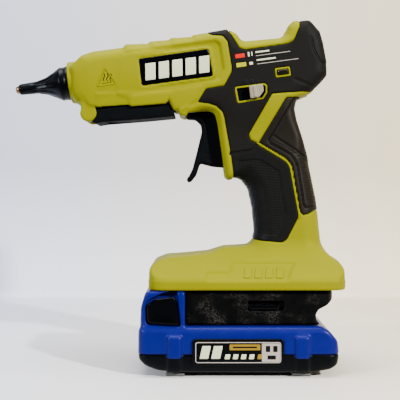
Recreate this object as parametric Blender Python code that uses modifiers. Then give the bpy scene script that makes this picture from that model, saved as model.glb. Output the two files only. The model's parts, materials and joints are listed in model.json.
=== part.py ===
"""A cordless hot glue gun standing on its battery, built as separate pieces in one shared frame.

The nozzle points to -X, the side facing -Y is the tool's left, and Z=0 is the floor under the battery feet.
Outlines are in millimetres and are scaled to metres when a piece is made.
"""

import math

import bmesh
import bpy
from mathutils import Matrix, Vector

MM = 0.001
GAP = 0.3  # clearance between touching pieces
SEAM = 0.15  # each shell half stops this far from the centre plane

TILT = math.radians(7.5)  # the barrel rises to the rear
TIP_X, TIP_Z = -104.3, 178.9  # centre of the nozzle's open end
LENGTH_END = 104.6  # rear of the foot

BODY_W, HANDLE_W, FOOT_W, BATTERY_W = 19.0, 16.5, 37.0, 38.0  # half widths
WALL = 2.3
SKIN = 1.4  # thickness of the soft covers on the shell's sides
EDGE = 2.5  # rounding of the shell's side edges

STICK_R = 5.6
BORE_R = 7.0  # channel that the glue stick runs in
CHAMBER = 9.0  # half side of the cast melt chamber
CHAMBER_U = (44.3, 108.0)
BAY_U = (144.0, 180.0)  # open loading bay, along the barrel axis

PIVOT = (28.9, 161.8)  # trigger hinge
TRAY_HINGE = (-57.5, 163.8)
PIN_R, PIN_HOLE_R = 1.5, 1.8
POST_R = 4.2

FOOT_Z = (53.0, 75.0)
DECK_Z = 31.0  # top of the battery's main box
SPLIT_Z = 14.0  # joint between the battery's two cases
NOSE_TOP = 52.2
RAIL_NECK, RAIL_HEAD = 17.0, 22.0  # half widths of the battery rail
RAIL_X = (10.0, 80.0)
CELL_R, CELL_LONG, CELL_PITCH = 9.2, 65.0, 18.8
BATTERY_MID = 38.0

YELLOW = (0.60, 0.55, 0.01)
DARK = (0.030, 0.027, 0.022)
BLACK = (0.008, 0.008, 0.010)
BLUE = (0.006, 0.045, 0.30)
STEEL = (0.55, 0.55, 0.56)
PALE = (0.62, 0.60, 0.55)

BODY = (
    (-70.5, 195.5, 3), (-60.5, 203.6, 4), (-34.0, 207.4, 4), (32.2, 217.8, 3), (40.5, 208.8, 3),
    (67.5, 212.2, 3), (72.5, 223.8, 4), (85.5, 224.3, 6), (93.3, 215.0, 6), (96.0, 196.0, 8),
    (95.2, 185.0, 5), (84.0, 174.6, 4), (69.5, 173.0, 3), (53.0, 146.4, 3), (35.0, 147.5, 3),
    (26.0, 168.0, 3), (3.0, 166.4, 3), (-4.5, 173.6, 3), (-52.5, 167.3, 3), (-63.5, 169.0, 4),
)
HANDLE = (
    (26.0, 168.0, 3), (30.4, 160.0, 4), (36.2, 122.0, 3), (42.5, 119.4, 5), (47.4, 106.0, 14),
    (49.6, 86.0, 6), (48.0, 60.0, 3), (92.6, 60.0, 3), (91.2, 96.0, 20), (84.4, 137.0, 20),
    (76.0, 162.0, 6), (78.0, 176.0, 4),
)
FOOT = ((-16.4, -FOOT_W, 16), (LENGTH_END, -FOOT_W, 16), (LENGTH_END, FOOT_W, 16), (-16.4, FOOT_W, 16))
COVER = (
    (36.0, 213.6, 0.5), (43.6, 207.6, 2), (68.0, 209.5, 3), (74.5, 221.0, 4), (85.0, 221.5, 5),
    (91.0, 214.0, 5), (93.5, 196.0, 6), (92.6, 187.0, 4), (84.0, 178.6, 3), (62.0, 177.0, 2),
    (46.0, 150.2, 2), (34.8, 150.6, 2), (33.0, 163.0, 3), (29.5, 171.5, 3), (19.5, 173.0, 3),
    (22.0, 178.6, 2), (32.0, 181.0, 3), (37.0, 190.0, 5),
)
FRONT_GRIP = (
    (35.8, 145.2, 2), (50.8, 144.4, 2), (53.4, 142.2, 2), (68.5, 133.6, 3), (72.0, 127.0, 4),
    (77.0, 98.0, 3), (68.0, 81.5, 3), (52.5, 81.0, 3), (50.2, 106.0, 10), (45.0, 121.5, 5), (38.2, 125.0, 2),
)
REAR_GRIP = (
    (72.5, 169.5, 3), (62.0, 150.0, 3), (61.8, 146.0, 2), (73.5, 138.0, 3), (78.0, 129.0, 4),
    (82.0, 104.0, 3), (88.2, 104.5, 3), (82.0, 136.0, 10), (73.8, 160.0, 4),
)
BADGE = ((-25.7, 199.9, 3), (20.5, 206.4, 3), (23.7, 187.8, 3), (-23.7, 181.3, 3))
TRIGGER = (
    (5.5, 165.0, 1), (6.4, 159.4, 1.5), (12.5, 159.6, 2), (16.0, 155.0, 6), (11.5, 135.5, 20),
    (6.0, 122.5, 2), (7.2, 118.8, 1), (12.5, 123.0, 4), (15.4, 131.4, 4), (30.5, 128.6, 2),
    (34.0, 160.0, 4), (34.4, 178.3, 1.5), (29.3, 178.3, 1.5), (29.0, 168.5, 3), (22.0, 164.6, 3),
)
TRAY = (
    (-50.6, 165.9, 1.5), (-5.6, 171.4, 1.5), (-1.6, 162.0, 2), (-20.0, 159.2, 8), (-50.6, 156.8, 2),
)
LATCH = ((46.0, 41.0, 1.5), (66.0, 41.0, 1.5), (66.0, 48.0, 1.5), (46.0, 48.0, 1.5))
RELEASE = ((-16.8, 33.5, 2.5), (1.2, 32.2, 2), (-0.6, 48.6, 2), (-13.5, 47.4, 5))
SCREWS = ((-50.0, 200.4), (87.0, 190.5), (68.5, 155.5), (52.5, 114.5))  # in X and Z
SCREW_HEAD, SCREW_SHANK, BOSS_R = 2.9, 1.4, 3.6


def clear_scene():
    for obj in list(bpy.data.objects):
        bpy.data.objects.remove(obj, do_unlink=True)


def new_collection(name):
    made = bpy.data.collections.new(name)
    bpy.context.scene.collection.children.link(made)
    return made


def material(name, colour, rough, metal):
    made = bpy.data.materials.new(name)
    made.use_nodes = True
    shader = made.node_tree.nodes["Principled BSDF"]
    shader.inputs["Base Color"].default_value = (*colour, 1.0)
    shader.inputs["Roughness"].default_value = rough
    shader.inputs["Metallic"].default_value = metal
    made.diffuse_color = (*colour, 1.0)
    return made


def add(name, mesh, where):
    obj = bpy.data.objects.new(name, mesh)
    where.objects.link(obj)
    return obj


def rounded(corners, steps=3):
    """The outline's points, each corner (a, b, radius) turned into an arc of that radius."""
    points = []
    for i, (x, y, radius) in enumerate(corners):
        here = Vector((x, y))
        before = Vector(corners[i - 1][:2]) - here
        after = Vector(corners[(i + 1) % len(corners)][:2]) - here
        half = before.angle(after) / 2
        reach = min(radius / math.tan(half), 0.48 * before.length, 0.48 * after.length)
        if math.pi / 2 - half < 0.06:
            points.append(here)
            continue
        start = here + before.normalized() * reach
        end = here + after.normalized() * reach
        for k in range(steps + 1):
            t = k / steps
            points.append((1 - t) ** 2 * start + 2 * t * (1 - t) * here + t * t * end)
    return points


def inset(corners, by):
    """The corners moved inwards by a wall's thickness."""
    flat = [Vector(c[:2]) for c in corners]
    area = sum(a.cross(b) for a, b in zip(flat, flat[1:] + flat[:1]))
    turn = 1 if area > 0 else -1
    moved = []
    for i, here in enumerate(flat):
        into = (here - flat[i - 1]).normalized()
        out = (flat[(i + 1) % len(flat)] - here).normalized()
        first = Vector((-into.y, into.x)) * turn
        second = Vector((-out.y, out.x)) * turn
        middle = (first + second).normalized()
        shift = by / max(middle.dot(first), 0.35)
        moved.append((*(here + middle * shift), max(corners[i][2] - by * 0.5, 1.0)))
    return tuple(moved)


def clean(mesh):
    work = bmesh.new()
    work.from_mesh(mesh)
    bmesh.ops.remove_doubles(work, verts=work.verts, dist=1e-6)
    bmesh.ops.recalc_face_normals(work, faces=work.faces)
    work.to_mesh(mesh)
    work.free()
    return mesh


def flat_mesh(corners, depth, steps=3):
    """An outline filled on both sides and extruded to the given depth about its own plane."""
    curve = bpy.data.curves.new("outline", "CURVE")
    curve.dimensions = "2D"
    curve.fill_mode = "BOTH"
    curve.extrude = depth / 2 * MM
    points = rounded(corners, steps)
    spline = curve.splines.new("POLY")
    spline.points.add(len(points) - 1)
    for slot, point in zip(spline.points, points):
        slot.co = (point.x * MM, point.y * MM, 0, 1)
    spline.use_cyclic_u = True
    holder = bpy.data.objects.new("outline", curve)
    mesh = clean(bpy.data.meshes.new_from_object(holder))
    bpy.data.objects.remove(holder)
    return mesh


def soften(obj, width):
    bevel = obj.modifiers.new("edge", "BEVEL")
    bevel.width = width * MM
    bevel.segments = 1 if width <= 1.0 else 2
    bevel.limit_method = "ANGLE"
    bevel.angle_limit = math.radians(50)
    return obj


def side_slab(name, corners, y0, y1, where, edge=0.0, steps=3):
    """A side outline in X and Z, extruded from y0 to y1."""
    mesh = flat_mesh(corners, y1 - y0, steps)
    mesh.transform(Matrix.Translation((0, (y0 + y1) / 2 * MM, 0)) @ Matrix.Rotation(math.pi / 2, 4, "X"))
    obj = add(name, mesh, where)
    return soften(obj, edge) if edge else obj


def plan_slab(name, corners, z0, z1, where, edge=0.0, steps=3):
    """A plan outline in X and Y, extruded from z0 to z1."""
    mesh = flat_mesh(corners, z1 - z0, steps)
    mesh.transform(Matrix.Translation((0, 0, (z0 + z1) / 2 * MM)))
    obj = add(name, mesh, where)
    return soften(obj, edge) if edge else obj


def box(name, x, y, z, where, edge=0.0, frame=None):
    work = bmesh.new()
    bmesh.ops.create_cube(work, size=1.0)
    size = Matrix.Diagonal(((x[1] - x[0]) * MM, (y[1] - y[0]) * MM, (z[1] - z[0]) * MM, 1))
    centre = Matrix.Translation(Vector((sum(x), sum(y), sum(z))) / 2 * MM)
    work.transform((frame or Matrix()) @ centre @ size)
    mesh = bpy.data.meshes.new(name)
    work.to_mesh(mesh)
    work.free()
    obj = add(name, mesh, where)
    return soften(obj, edge) if edge else obj


def cylinder(name, start, end, radius, where, sides=24, top=None, frame=None):
    """A round bar from one point to another, tapering to the radius top if given."""
    a, b = Vector(start) * MM, Vector(end) * MM
    work = bmesh.new()
    top = radius if top is None else top
    bmesh.ops.create_cone(
        work, cap_ends=True, segments=sides, radius1=radius * MM, radius2=top * MM, depth=(b - a).length
    )
    turn = Vector((0, 0, 1)).rotation_difference(b - a).to_matrix().to_4x4()
    work.transform((frame or Matrix()) @ Matrix.Translation((a + b) / 2) @ turn)
    mesh = bpy.data.meshes.new(name)
    work.to_mesh(mesh)
    work.free()
    return add(name, clean(mesh), where)


def turned(name, profile, where, frame, steps=28):
    """A ring turned about the barrel axis from a closed profile of (along, radius)."""
    work = bmesh.new()
    rim = [work.verts.new((r * MM, 0, u * MM)) for u, r in profile]
    for i, vert in enumerate(rim):
        work.edges.new((vert, rim[(i + 1) % len(rim)]))
    mesh = bpy.data.meshes.new(name)
    work.to_mesh(mesh)
    work.free()
    holder = add(name, mesh, where)
    screw = holder.modifiers.new("turn", "SCREW")
    screw.steps = screw.render_steps = steps
    screw.use_merge_vertices = True
    screw.merge_threshold = 0.00001
    graph = bpy.context.evaluated_depsgraph_get()
    made = clean(bpy.data.meshes.new_from_object(holder.evaluated_get(graph)))
    made.transform(frame @ Matrix.Rotation(math.pi / 2, 4, "Y"))
    holder.modifiers.clear()
    holder.data = made
    return holder


def tube(name, points, radius, where, frame=None, sides=2):
    """A round wire through the given points."""
    curve = bpy.data.curves.new(name, "CURVE")
    curve.dimensions = "3D"
    curve.bevel_depth = radius * MM
    curve.bevel_resolution = sides
    curve.use_fill_caps = True
    spline = curve.splines.new("POLY")
    spline.points.add(len(points) - 1)
    for slot, point in zip(spline.points, points):
        slot.co = (*(Vector(point) * MM), 1)
    holder = bpy.data.objects.new("wire", curve)
    mesh = clean(bpy.data.meshes.new_from_object(holder))
    bpy.data.objects.remove(holder)
    if frame:
        mesh.transform(frame)
    return add(name, mesh, where)


def combine(obj, other, operation):
    step = obj.modifiers.new(operation.lower(), "BOOLEAN")
    step.operation = operation
    step.solver = "EXACT"
    step.object = other
    other.hide_render = True
    other.display_type = "WIRE"
    return obj


def cut(obj, *others):
    for other in others:
        combine(obj, other, "DIFFERENCE")
    return obj


def join(obj, *others):
    for other in others:
        combine(obj, other, "UNION")
    return obj


def about(obj, x, y, z):
    """Moves the object's origin to a joint, leaving its shape where it is."""
    point = Vector((x, y, z)) * MM
    obj.data.transform(Matrix.Translation(-point))
    obj.location = point
    return obj


def paint(shade, *objs):
    for obj in objs:
        obj.data.materials.clear()
        obj.data.materials.append(shade)


clear_scene()
GUN = new_collection("glue_gun")
CUT = new_collection("glue_gun_cutters")
CUT.hide_render = True
AXIS = Matrix.Translation((TIP_X * MM, 0, TIP_Z * MM)) @ Matrix.Rotation(-TILT, 4, "Y")
SIDES = (("left", -1), ("right", 1))


def span(side, near, far):
    """The y range from near to far on one side of the centre plane."""
    return (near, far) if side > 0 else (-far, -near)


def cross_bar(name, place, y, radius, where=CUT):
    """A round bar along Y through a hinge's place in X and Z."""
    x, z = place
    return cylinder(name, (x, y[0], z), (x, y[1], z), radius, where, 14)


def shell_cavity():
    """The space inside both shell halves, with the room for the battery stem."""
    inner = inset(BODY, WALL)
    hollow = side_slab("body_hollow", inner, -(BODY_W - WALL), BODY_W - WALL, CUT)
    grip = side_slab("handle_hollow", inset(HANDLE, WALL + 0.2), -(HANDLE_W - WALL), HANDLE_W - WALL, CUT)
    foot = plan_slab("foot_hollow", inset(FOOT, WALL), FOOT_Z[0] + 2.4, FOOT_Z[1] - 2.4, CUT)
    return hollow, grip, foot


def shell_openings():
    """Everything that passes through the shell's walls."""
    found = [
        cylinder("nozzle_hole", (28, 0, 0), (48, 0, 0), 11.0, CUT, 28, frame=AXIS),
        cylinder("stick_hole", (128, 0, 0), (215, 0, 0), BORE_R + 0.2, CUT, 20, frame=AXIS),
        box("bay_hole", BAY_U, (-BORE_R - 0.2, BORE_R + 0.2), (0, 40), CUT, frame=AXIS),
        box("trigger_hole", (18, 41), (-7.2, 7.2), (126.6, 172), CUT),
        box("stem_hole", (53.5, 84.5), (-12.0, 12.0), (50, 60), CUT),
    ]
    return found


def tray_knuckle(side):
    x, z = TRAY_HINGE
    low, high = span(side, 10.0, 15.5)
    disc = cylinder("knuckle", (x, low, z), (x, high, z), 4.9, CUT, 20)
    web = box("knuckle_web", (x - 4.9, x + 4.9), (low, high), (z, z + 9), CUT)
    hole = cross_bar("pin_hole", TRAY_HINGE, (low - 1, high + 1), PIN_HOLE_R)
    return (disc, web), hole


def build_shell():
    body_hollow, handle_hollow, foot_hollow = shell_cavity()
    openings = shell_openings()
    handle = side_slab("handle_block", HANDLE, -HANDLE_W, HANDLE_W, CUT, EDGE)
    foot = plan_slab("foot_block", FOOT, *FOOT_Z, CUT, 5.0)
    for name, side in SIDES:
        half = side_slab(f"housing_{name}", BODY, -BODY_W, BODY_W, GUN, EDGE)
        join(half, handle, foot)
        cut(half, body_hollow, handle_hollow, foot_hollow)
        bosses = [
            cylinder("boss", (x, 0, z), (x, side * (screw_wall(i) - 1.2), z), BOSS_R, CUT, 12)
            for i, (x, z) in enumerate(SCREWS)
        ]
        post_y = span(side, 9.0, 17.5)
        bosses.append(cross_bar("post", PIVOT, post_y, POST_R))
        knuckle, knuckle_hole = tray_knuckle(side)
        join(half, *bosses, *knuckle)
        pin_end = span(side, 5.0, 15.0)
        cut(half, cross_bar("pivot_hole", PIVOT, pin_end, PIN_HOLE_R))
        cut(half, knuckle_hole, *openings)
        keep = box("keep", (-150, 150), span(side, SEAM, 60), (0, 260), CUT)
        combine(half, keep, "INTERSECT")
        cut(half, *screw_holes(side))
        paint(SHADES["yellow"], half)
    switch = box("switch_slot", (144.7, 156.9), (-25, -12), (-22.8, -19.8), CUT, frame=AXIS)
    window = box("window_hole", (168.0, 177.2), (-25, -12), (-13.5, -7.9), CUT, frame=AXIS)
    cut(bpy.data.objects["housing_left"], switch, window)


def screw_wall(index):
    """Half width of the shell at a screw."""
    return BODY_W if index < 2 else HANDLE_W


def screw_holes(side):
    """Blind holes in the left half; clearance holes with sunk heads in the right."""
    holes = []
    for i, (x, z) in enumerate(SCREWS):
        wall = screw_wall(i)
        if side < 0:
            holes.append(cylinder("screw_hole", (x, -12.5, z), (x, 1, z), SCREW_SHANK + GAP, CUT, 10))
            continue
        shank = cylinder("screw_hole", (x, -1, z), (x, wall - 2, z), SCREW_SHANK + GAP, CUT, 12)
        sink = cylinder("screw_sink", (x, wall - 4.6, z), (x, 30, z), SCREW_HEAD + 0.4, CUT, 12)
        holes.append(join(shank, sink))
    return holes


def build_screws():
    for i, (x, z) in enumerate(SCREWS):
        wall = screw_wall(i)
        head = cylinder(f"housing_screw_{i + 1}", (x, wall - 4.3, z), (x, wall - 1.9, z), SCREW_HEAD, GUN, 12)
        shank = cylinder("shank", (x, -11.5, z), (x, wall - 4.0, z), SCREW_SHANK, CUT, 10)
        slot = box("drive", (x - 2.0, x + 2.0), (wall - 2.6, wall), (z - 0.4, z + 0.4), CUT)
        cut(join(head, shank), slot)
        paint(SHADES["steel"], head)


def build_covers():
    plates = (
        ("body_cover", COVER, BODY_W, SKIN, "dark"),
        ("front_grip", FRONT_GRIP, HANDLE_W, SKIN, "dark"),
        ("rear_grip", REAR_GRIP, HANDLE_W, SKIN, "dark"),
        ("badge", BADGE, BODY_W, 1.0, "black"),
    )
    for base, corners, wall, thick, shade in plates:
        for name, side in SIDES:
            low, high = span(side, wall + GAP, wall + GAP + thick)
            plate = side_slab(f"{base}_{name}", corners, low, high, GUN, 0.4)
            if base == "body_cover":
                cut(plate, *cover_holes(name, side))
            paint(SHADES[shade], plate)


def cover_holes(name, side):
    if side < 0:
        return (
            box("slider_bay", (140.5, 161.0), (-30, -10), (-26.2, -16.4), CUT, frame=AXIS),
            box("lens_bay", (168.0, 177.2), (-30, -10), (-13.5, -7.9), CUT, frame=AXIS),
        )
    x, z = SCREWS[1]
    return (cylinder("screw_reach", (x, 10, z), (x, 30, z), SCREW_HEAD + 0.4, CUT, 12),)


def build_nozzle():
    tip = turned(
        "nozzle_tip",
        ((0, 1.0), (0, 2.3), (14, 2.7), (24, 4.2), (31, 7.0), (44, 7.0), (44, 4.6), (34, 4.6), (22, 1.0)),
        GUN, AXIS, 24,
    )
    sleeve = turned(
        "nozzle_sleeve",
        (
            (1.8, 2.9), (2.4, 3.3), (14, 3.9), (20, 5.2), (26, 8.3), (30.5, 10.4), (41, 10.5),
            (41, 7.4), (30.8, 7.4), (23.8, 4.6), (14, 3.1),
        ),
        GUN, AXIS,
    )
    paint(SHADES["brass"], tip)
    paint(SHADES["black"], sleeve)
    side = (-CHAMBER, CHAMBER)
    chamber = box("melt_chamber", CHAMBER_U, side, side, GUN, 1.5, AXIS)
    bore = cylinder("chamber_bore", (40, 0, 0), (112, 0, 0), STICK_R + 0.4, CUT, 20, frame=AXIS)
    paint(SHADES["aluminium"], cut(chamber, bore))
    below = -CHAMBER - GAP
    plate = box("heater_plate", (62, 92), (-6, 6), (below - 2.2, below), GUN, frame=AXIS)
    paint(SHADES["ceramic"], plate)
    clip_y = (-CHAMBER - 1.2, CHAMBER + 1.2)
    clip = box("heater_clip", (70, 84), clip_y, (below - 3.4, CHAMBER + 1.2), GUN, frame=AXIS)
    room = (-CHAMBER - GAP, CHAMBER + GAP)
    inner = box("clip_room", (60, 100), room, (below - 2.5, CHAMBER + GAP), CUT, frame=AXIS)
    mouth = box("clip_mouth", (60, 100), (-5, 5), (0, 20), CUT, frame=AXIS)
    paint(SHADES["steel"], cut(clip, inner, mouth))
    seal = turned(
        "inlet_seal",
        ((108.3, 5.9), (108.3, 8.6), (114, 8.6), (117, 7.4), (117, 5.9)),
        GUN, AXIS, 20,
    )
    paint(SHADES["silicone"], seal)
    coils, steps = 4, 10
    count = coils * steps
    points = [
        (
            117.6 + 8.4 * k / count,
            7.9 * math.cos(2 * math.pi * k / steps),
            7.9 * math.sin(2 * math.pi * k / steps),
        )
        for k in range(count + 1)
    ]
    paint(SHADES["steel"], tube("return_spring", points, 0.5, GUN, AXIS, 1))


def build_feed():
    carriage = cylinder("feed_carriage", (126.6, 0, 0), (139.0, 0, 0), 9.2, GUN, 20, frame=AXIS)
    lug = box("lug", (127.0, 131.0), (-5, 5), (-24.0, -6), CUT, frame=AXIS)
    bore = cylinder("carriage_bore", (120, 0, 0), (142, 0, 0), STICK_R + 0.8, CUT, 20, frame=AXIS)
    notch = box("gripper_room", (132.6, 137.4), (-3.0, 3.0), (-12, -5), CUT, frame=AXIS)
    paint(SHADES["nylon"], cut(join(carriage, lug), bore, notch))
    gripper = box("stick_gripper", (133.0, 137.0), (-2.6, 2.6), (-10.5, -5.4), GUN, frame=AXIS)
    paint(SHADES["steel"], gripper)
    trough = box("stick_trough", (143.0, 185.0), (-9.0, 9.0), (-9.2, 7.4), GUN, frame=AXIS)
    channel = cylinder("trough_bore", (130, 0, 0), (210, 0, 0), BORE_R, CUT, 20, frame=AXIS)
    open_top = box("trough_top", (130, 210), (-BORE_R, BORE_R), (0, 20), CUT, frame=AXIS)
    paint(SHADES["dark"], cut(trough, channel, open_top))


def build_trigger():
    x, z = PIVOT
    trigger = side_slab("trigger", TRIGGER, -6.6, 6.6, GUN, 1.0)
    cut(trigger, cross_bar("trigger_bore", PIVOT, (-10, 10), PIN_HOLE_R))
    paint(SHADES["black"], about(trigger, x, 0, z))
    paint(SHADES["steel"], cross_bar("trigger_pin", PIVOT, (-14.6, 14.6), PIN_R, GUN))


def build_tray():
    x, z = TRAY_HINGE
    tray = side_slab("drip_tray", TRAY, -15.0, 15.0, GUN, 1.0)
    arm_shape = ((x, z + 3.4, 1), (-48, 165.4, 1), (-48, 157.6, 1), (x, z - 3.4, 1))
    arm = side_slab("tray_arm", arm_shape, -9.4, 9.4, CUT)
    barrel = cylinder("tray_barrel", (x, -9.4, z), (x, 9.4, z), 4.2, CUT, 20)
    dish = box("tray_dish", (-46, -12), (-11, 11), (150, 160.2), CUT)
    hole = cross_bar("tray_bore", TRAY_HINGE, (-12, 12), PIN_HOLE_R)
    paint(SHADES["black"], about(cut(join(tray, arm, barrel), dish, hole), x, 0, z))
    paint(SHADES["steel"], cross_bar("tray_pin", TRAY_HINGE, (-15.2, 15.2), PIN_R, GUN))


def build_electrics():
    board = box("control_board", (142, 176), (-12.0, -10.4), (-24.8, -9.6), GUN, frame=AXIS)
    paint(SHADES["board"], board)
    led = cylinder("status_led", (172.6, -12.3, -11.4), (172.6, -15.6, -11.4), 1.5, GUN, 12, frame=AXIS)
    paint(SHADES["lamp"], led)
    lens = box("led_lens", (168.3, 176.9), (-20.9, -16.8), (-13.2, -8.2), GUN, 0.3, AXIS)
    paint(SHADES["smoke"], lens)
    switch = box("switch_body", (144.4, 157.4), (-16.0, -12.3), (-24.4, -18.2), GUN, frame=AXIS)
    paint(SHADES["black"], switch)
    slider = box("power_slider", (149.7, 159.9), (-22.2, -19.4), (-25.2, -17.4), GUN, 0.6, AXIS)
    stem = box("slider_stem", (153.3, 156.3), (-20, -16.5), (-22.5, -20.1), CUT, frame=AXIS)
    starts = [150.9 + 1.9 * k for k in range(5)]
    grooves = [box("groove", (u, u + 0.8), (-25, -21.6), (-30, -10), CUT, frame=AXIS) for u in starts]
    paint(SHADES["grey"], cut(join(slider, stem), *grooves))
    block = box("terminal_block", (58, 80), (-8, 8), (106.5, 113.5), GUN, 0.5)
    paint(SHADES["black"], block)
    for name, side in SIDES:
        y0, y1 = span(side, 11.6, 12.4)
        strip = box(f"tool_contact_{name}", (62, 76), (y0, y1), (94, 112), GUN)
        paint(SHADES["brass"], strip)
    power = ((64, 2.0, 114.6), (64, 2.0, 124), (57, -3.0, 146), (57, -6.0, 157), (57, -8.6, 176))
    paint(SHADES["red"], tube("power_lead", power, 0.9, GUN))
    heater = ((50, -8.4, 178), (36, -8.4, 176), (20, -13.0, 180), (-6, -12.5, 183), (-13, -6.0, 177.4))
    paint(SHADES["red"], tube("heater_lead", heater, 0.8, GUN))


def build_adapter():
    x0, x1 = 5.9, 94.4
    plan = ((x0, -32, 4), (x1, -32, 10), (x1, 32, 10), (x0, 32, 4))
    body = plan_slab("adapter_body", plan, DECK_Z + GAP, FOOT_Z[0] - GAP, GUN, 1.0)
    stem = box("stem", (55, 83), (-11, 11), (50, 105), CUT, 2.0)
    neck_y, head_y = (-RAIL_NECK - 0.4, RAIL_NECK + 0.4), (-RAIL_HEAD - 0.4, RAIL_HEAD + 0.4)
    slot = box("rail_neck_room", (0, 84), neck_y, (20, 38), CUT)
    head = box("rail_head_room", (0, 84), head_y, (35.4, 41.4), CUT)
    step = box("rear_step", (86, 120), (-40, 40), (20, 42), CUT)
    cut(join(body, stem), slot, head, step)
    for name, side in SIDES:
        pocket = side_slab("latch_pocket", inset(LATCH, -GAP), *span(side, 28.0, 40), CUT)
        cut(body, pocket)
        latch = side_slab(f"adapter_latch_{name}", LATCH, *span(side, 30.9, 33.4), GUN, 0.5)
        paint(SHADES["black"], latch)
        y0, y1 = span(side, 7.5, 8.5)
        blade = box(f"adapter_contact_{name}", (60, 78), (y0, y1), (33.6, 41.1), GUN)
        paint(SHADES["brass"], blade)
        s0, s1 = span(side, 10.1, 11.2)
        cut(body, box("contact_pocket", (61.5, 76.5), span(side, 9.8, 14), (86.5, 102.5), CUT))
        paint(SHADES["brass"], box(f"stem_contact_{name}", (62, 76), (s0, s1), (87, 102), GUN))
    paint(SHADES["black"], body)


def battery_plan(grow):
    x0, x1, w = -23.0 - grow, 99.0 + grow, BATTERY_W + grow
    return ((x0, -w, 9), (x1, -w, 9), (x1, w, 9), (x0, w, 9))


def build_battery():
    upper = plan_slab("battery_upper_case", battery_plan(0), SPLIT_Z + GAP, DECK_Z, GUN, 3.0)
    nose_x = (-21.0, 5.3)
    nose_plan = ((nose_x[0], -36, 9), (nose_x[1], -36, 2), (nose_x[1], 36, 2), (nose_x[0], 36, 9))
    nose = plan_slab("nose", nose_plan, 22, NOSE_TOP, CUT, 1.5)
    neck = box("rail_neck", RAIL_X, (-RAIL_NECK, RAIL_NECK), (22, 38), CUT)
    rail = box("rail_head", RAIL_X, (-RAIL_HEAD, RAIL_HEAD), (35.8, 41.0), CUT)
    floor = box("flat_bottom", (-40, 120), (-60, 60), (0, SPLIT_Z + GAP), CUT)
    hollow = plan_slab("battery_hollow", inset(battery_plan(0), 2.4), 0, DECK_Z - 2.6, CUT)
    join(upper, nose, neck, rail)
    cut(upper, hollow, floor)
    nose_hollow = box("nose_hollow", (-18.0, 2.8), (-25, 25), (20, NOSE_TOP - 2.6), CUT)
    cut(upper, nose_hollow)
    for name, side in SIDES:
        cut(upper, box("blade_slot", (56, 90), span(side, 6.9, 9.1), (32.6, 50), CUT))
        cut(upper, side_slab("release_pocket", inset(RELEASE, -GAP), *span(side, 30.5, 50), CUT))
        button = side_slab(f"battery_release_{name}", RELEASE, *span(side, 33.4, 36.6), GUN, 0.6)
        paint(SHADES["black"], button)
    paint(SHADES["blue"], upper)
    lower = plan_slab("battery_lower_case", battery_plan(-0.4), 1.8, SPLIT_Z + 2, GUN, 1.5)
    trim = box("flat_top", (-40, 120), (-60, 60), (SPLIT_Z, 40), CUT)
    room = plan_slab("lower_hollow", inset(battery_plan(-0.4), 2.4), 3.6, 40, CUT)
    paint(SHADES["black"], cut(lower, trim, room))
    for name, side in SIDES:
        label_y = span(side, BATTERY_W + GAP, BATTERY_W + 0.9)
        paint(SHADES["silver"], box(f"battery_label_{name}", (9.8, 65.8), label_y, (8.0, 24.0), GUN, 0.25))
    for k in range(6):
        x = BATTERY_MID + (k - 2.5) * CELL_PITCH
        z = 3.9 + CELL_R
        cell = cylinder(f"cell_{k + 1}", (x, -CELL_LONG / 2, z), (x, CELL_LONG / 2, z), CELL_R, GUN, 16)
        paint(SHADES["cell"], cell)
    board = box("battery_board", (-12, 88), (-26, 26), (24.0, 25.6), GUN)
    paint(SHADES["board"], board)
    for name, x in (("front", -0.6), ("rear", 77.0)):
        foot = box(f"battery_foot_{name}", (x - 6, x + 6), (-34, 34), (0, 1.5), GUN, 0.3)
        paint(SHADES["rubber"], foot)


SHADES = {
    "yellow": material("yellow_plastic", YELLOW, 0.38, 0.0),
    "dark": material("dark_overmould", DARK, 0.65, 0.0),
    "black": material("black_plastic", BLACK, 0.4, 0.0),
    "blue": material("blue_plastic", BLUE, 0.35, 0.0),
    "grey": material("grey_plastic", PALE, 0.4, 0.0),
    "nylon": material("natural_nylon", (0.55, 0.54, 0.48), 0.5, 0.0),
    "ceramic": material("white_ceramic", (0.75, 0.74, 0.70), 0.6, 0.0),
    "silicone": material("red_silicone", (0.40, 0.05, 0.03), 0.6, 0.0),
    "board": material("circuit_board", (0.01, 0.09, 0.03), 0.5, 0.0),
    "lamp": material("lamp_epoxy", (0.60, 0.08, 0.04), 0.2, 0.0),
    "smoke": material("smoked_lens", (0.02, 0.02, 0.015), 0.1, 0.0),
    "red": material("red_wire", (0.45, 0.02, 0.02), 0.5, 0.0),
    "cell": material("cell_sleeve", (0.10, 0.25, 0.12), 0.4, 0.3),
    "rubber": material("rubber_feet", (0.02, 0.02, 0.02), 0.8, 0.0),
    "silver": material("silver_label", (0.50, 0.50, 0.50), 0.3, 0.6),
    "steel": material("steel", STEEL, 0.3, 1.0),
    "aluminium": material("cast_aluminium", (0.60, 0.60, 0.60), 0.45, 1.0),
    "brass": material("brass", (0.62, 0.45, 0.20), 0.35, 1.0),
}

build_shell()
build_screws()
build_covers()
build_nozzle()
build_feed()
build_trigger()
build_tray()
build_electrics()
build_adapter()
build_battery()
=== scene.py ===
"""Looks of the cordless hot glue gun on its battery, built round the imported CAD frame.

Every surface piece is a solid given by a distance field in millimetres and meshed on a regular grid.
The nozzle points to -X, the side facing -Y is the tool's left, and Z=0 is the floor.
"""

import json
import math

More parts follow.
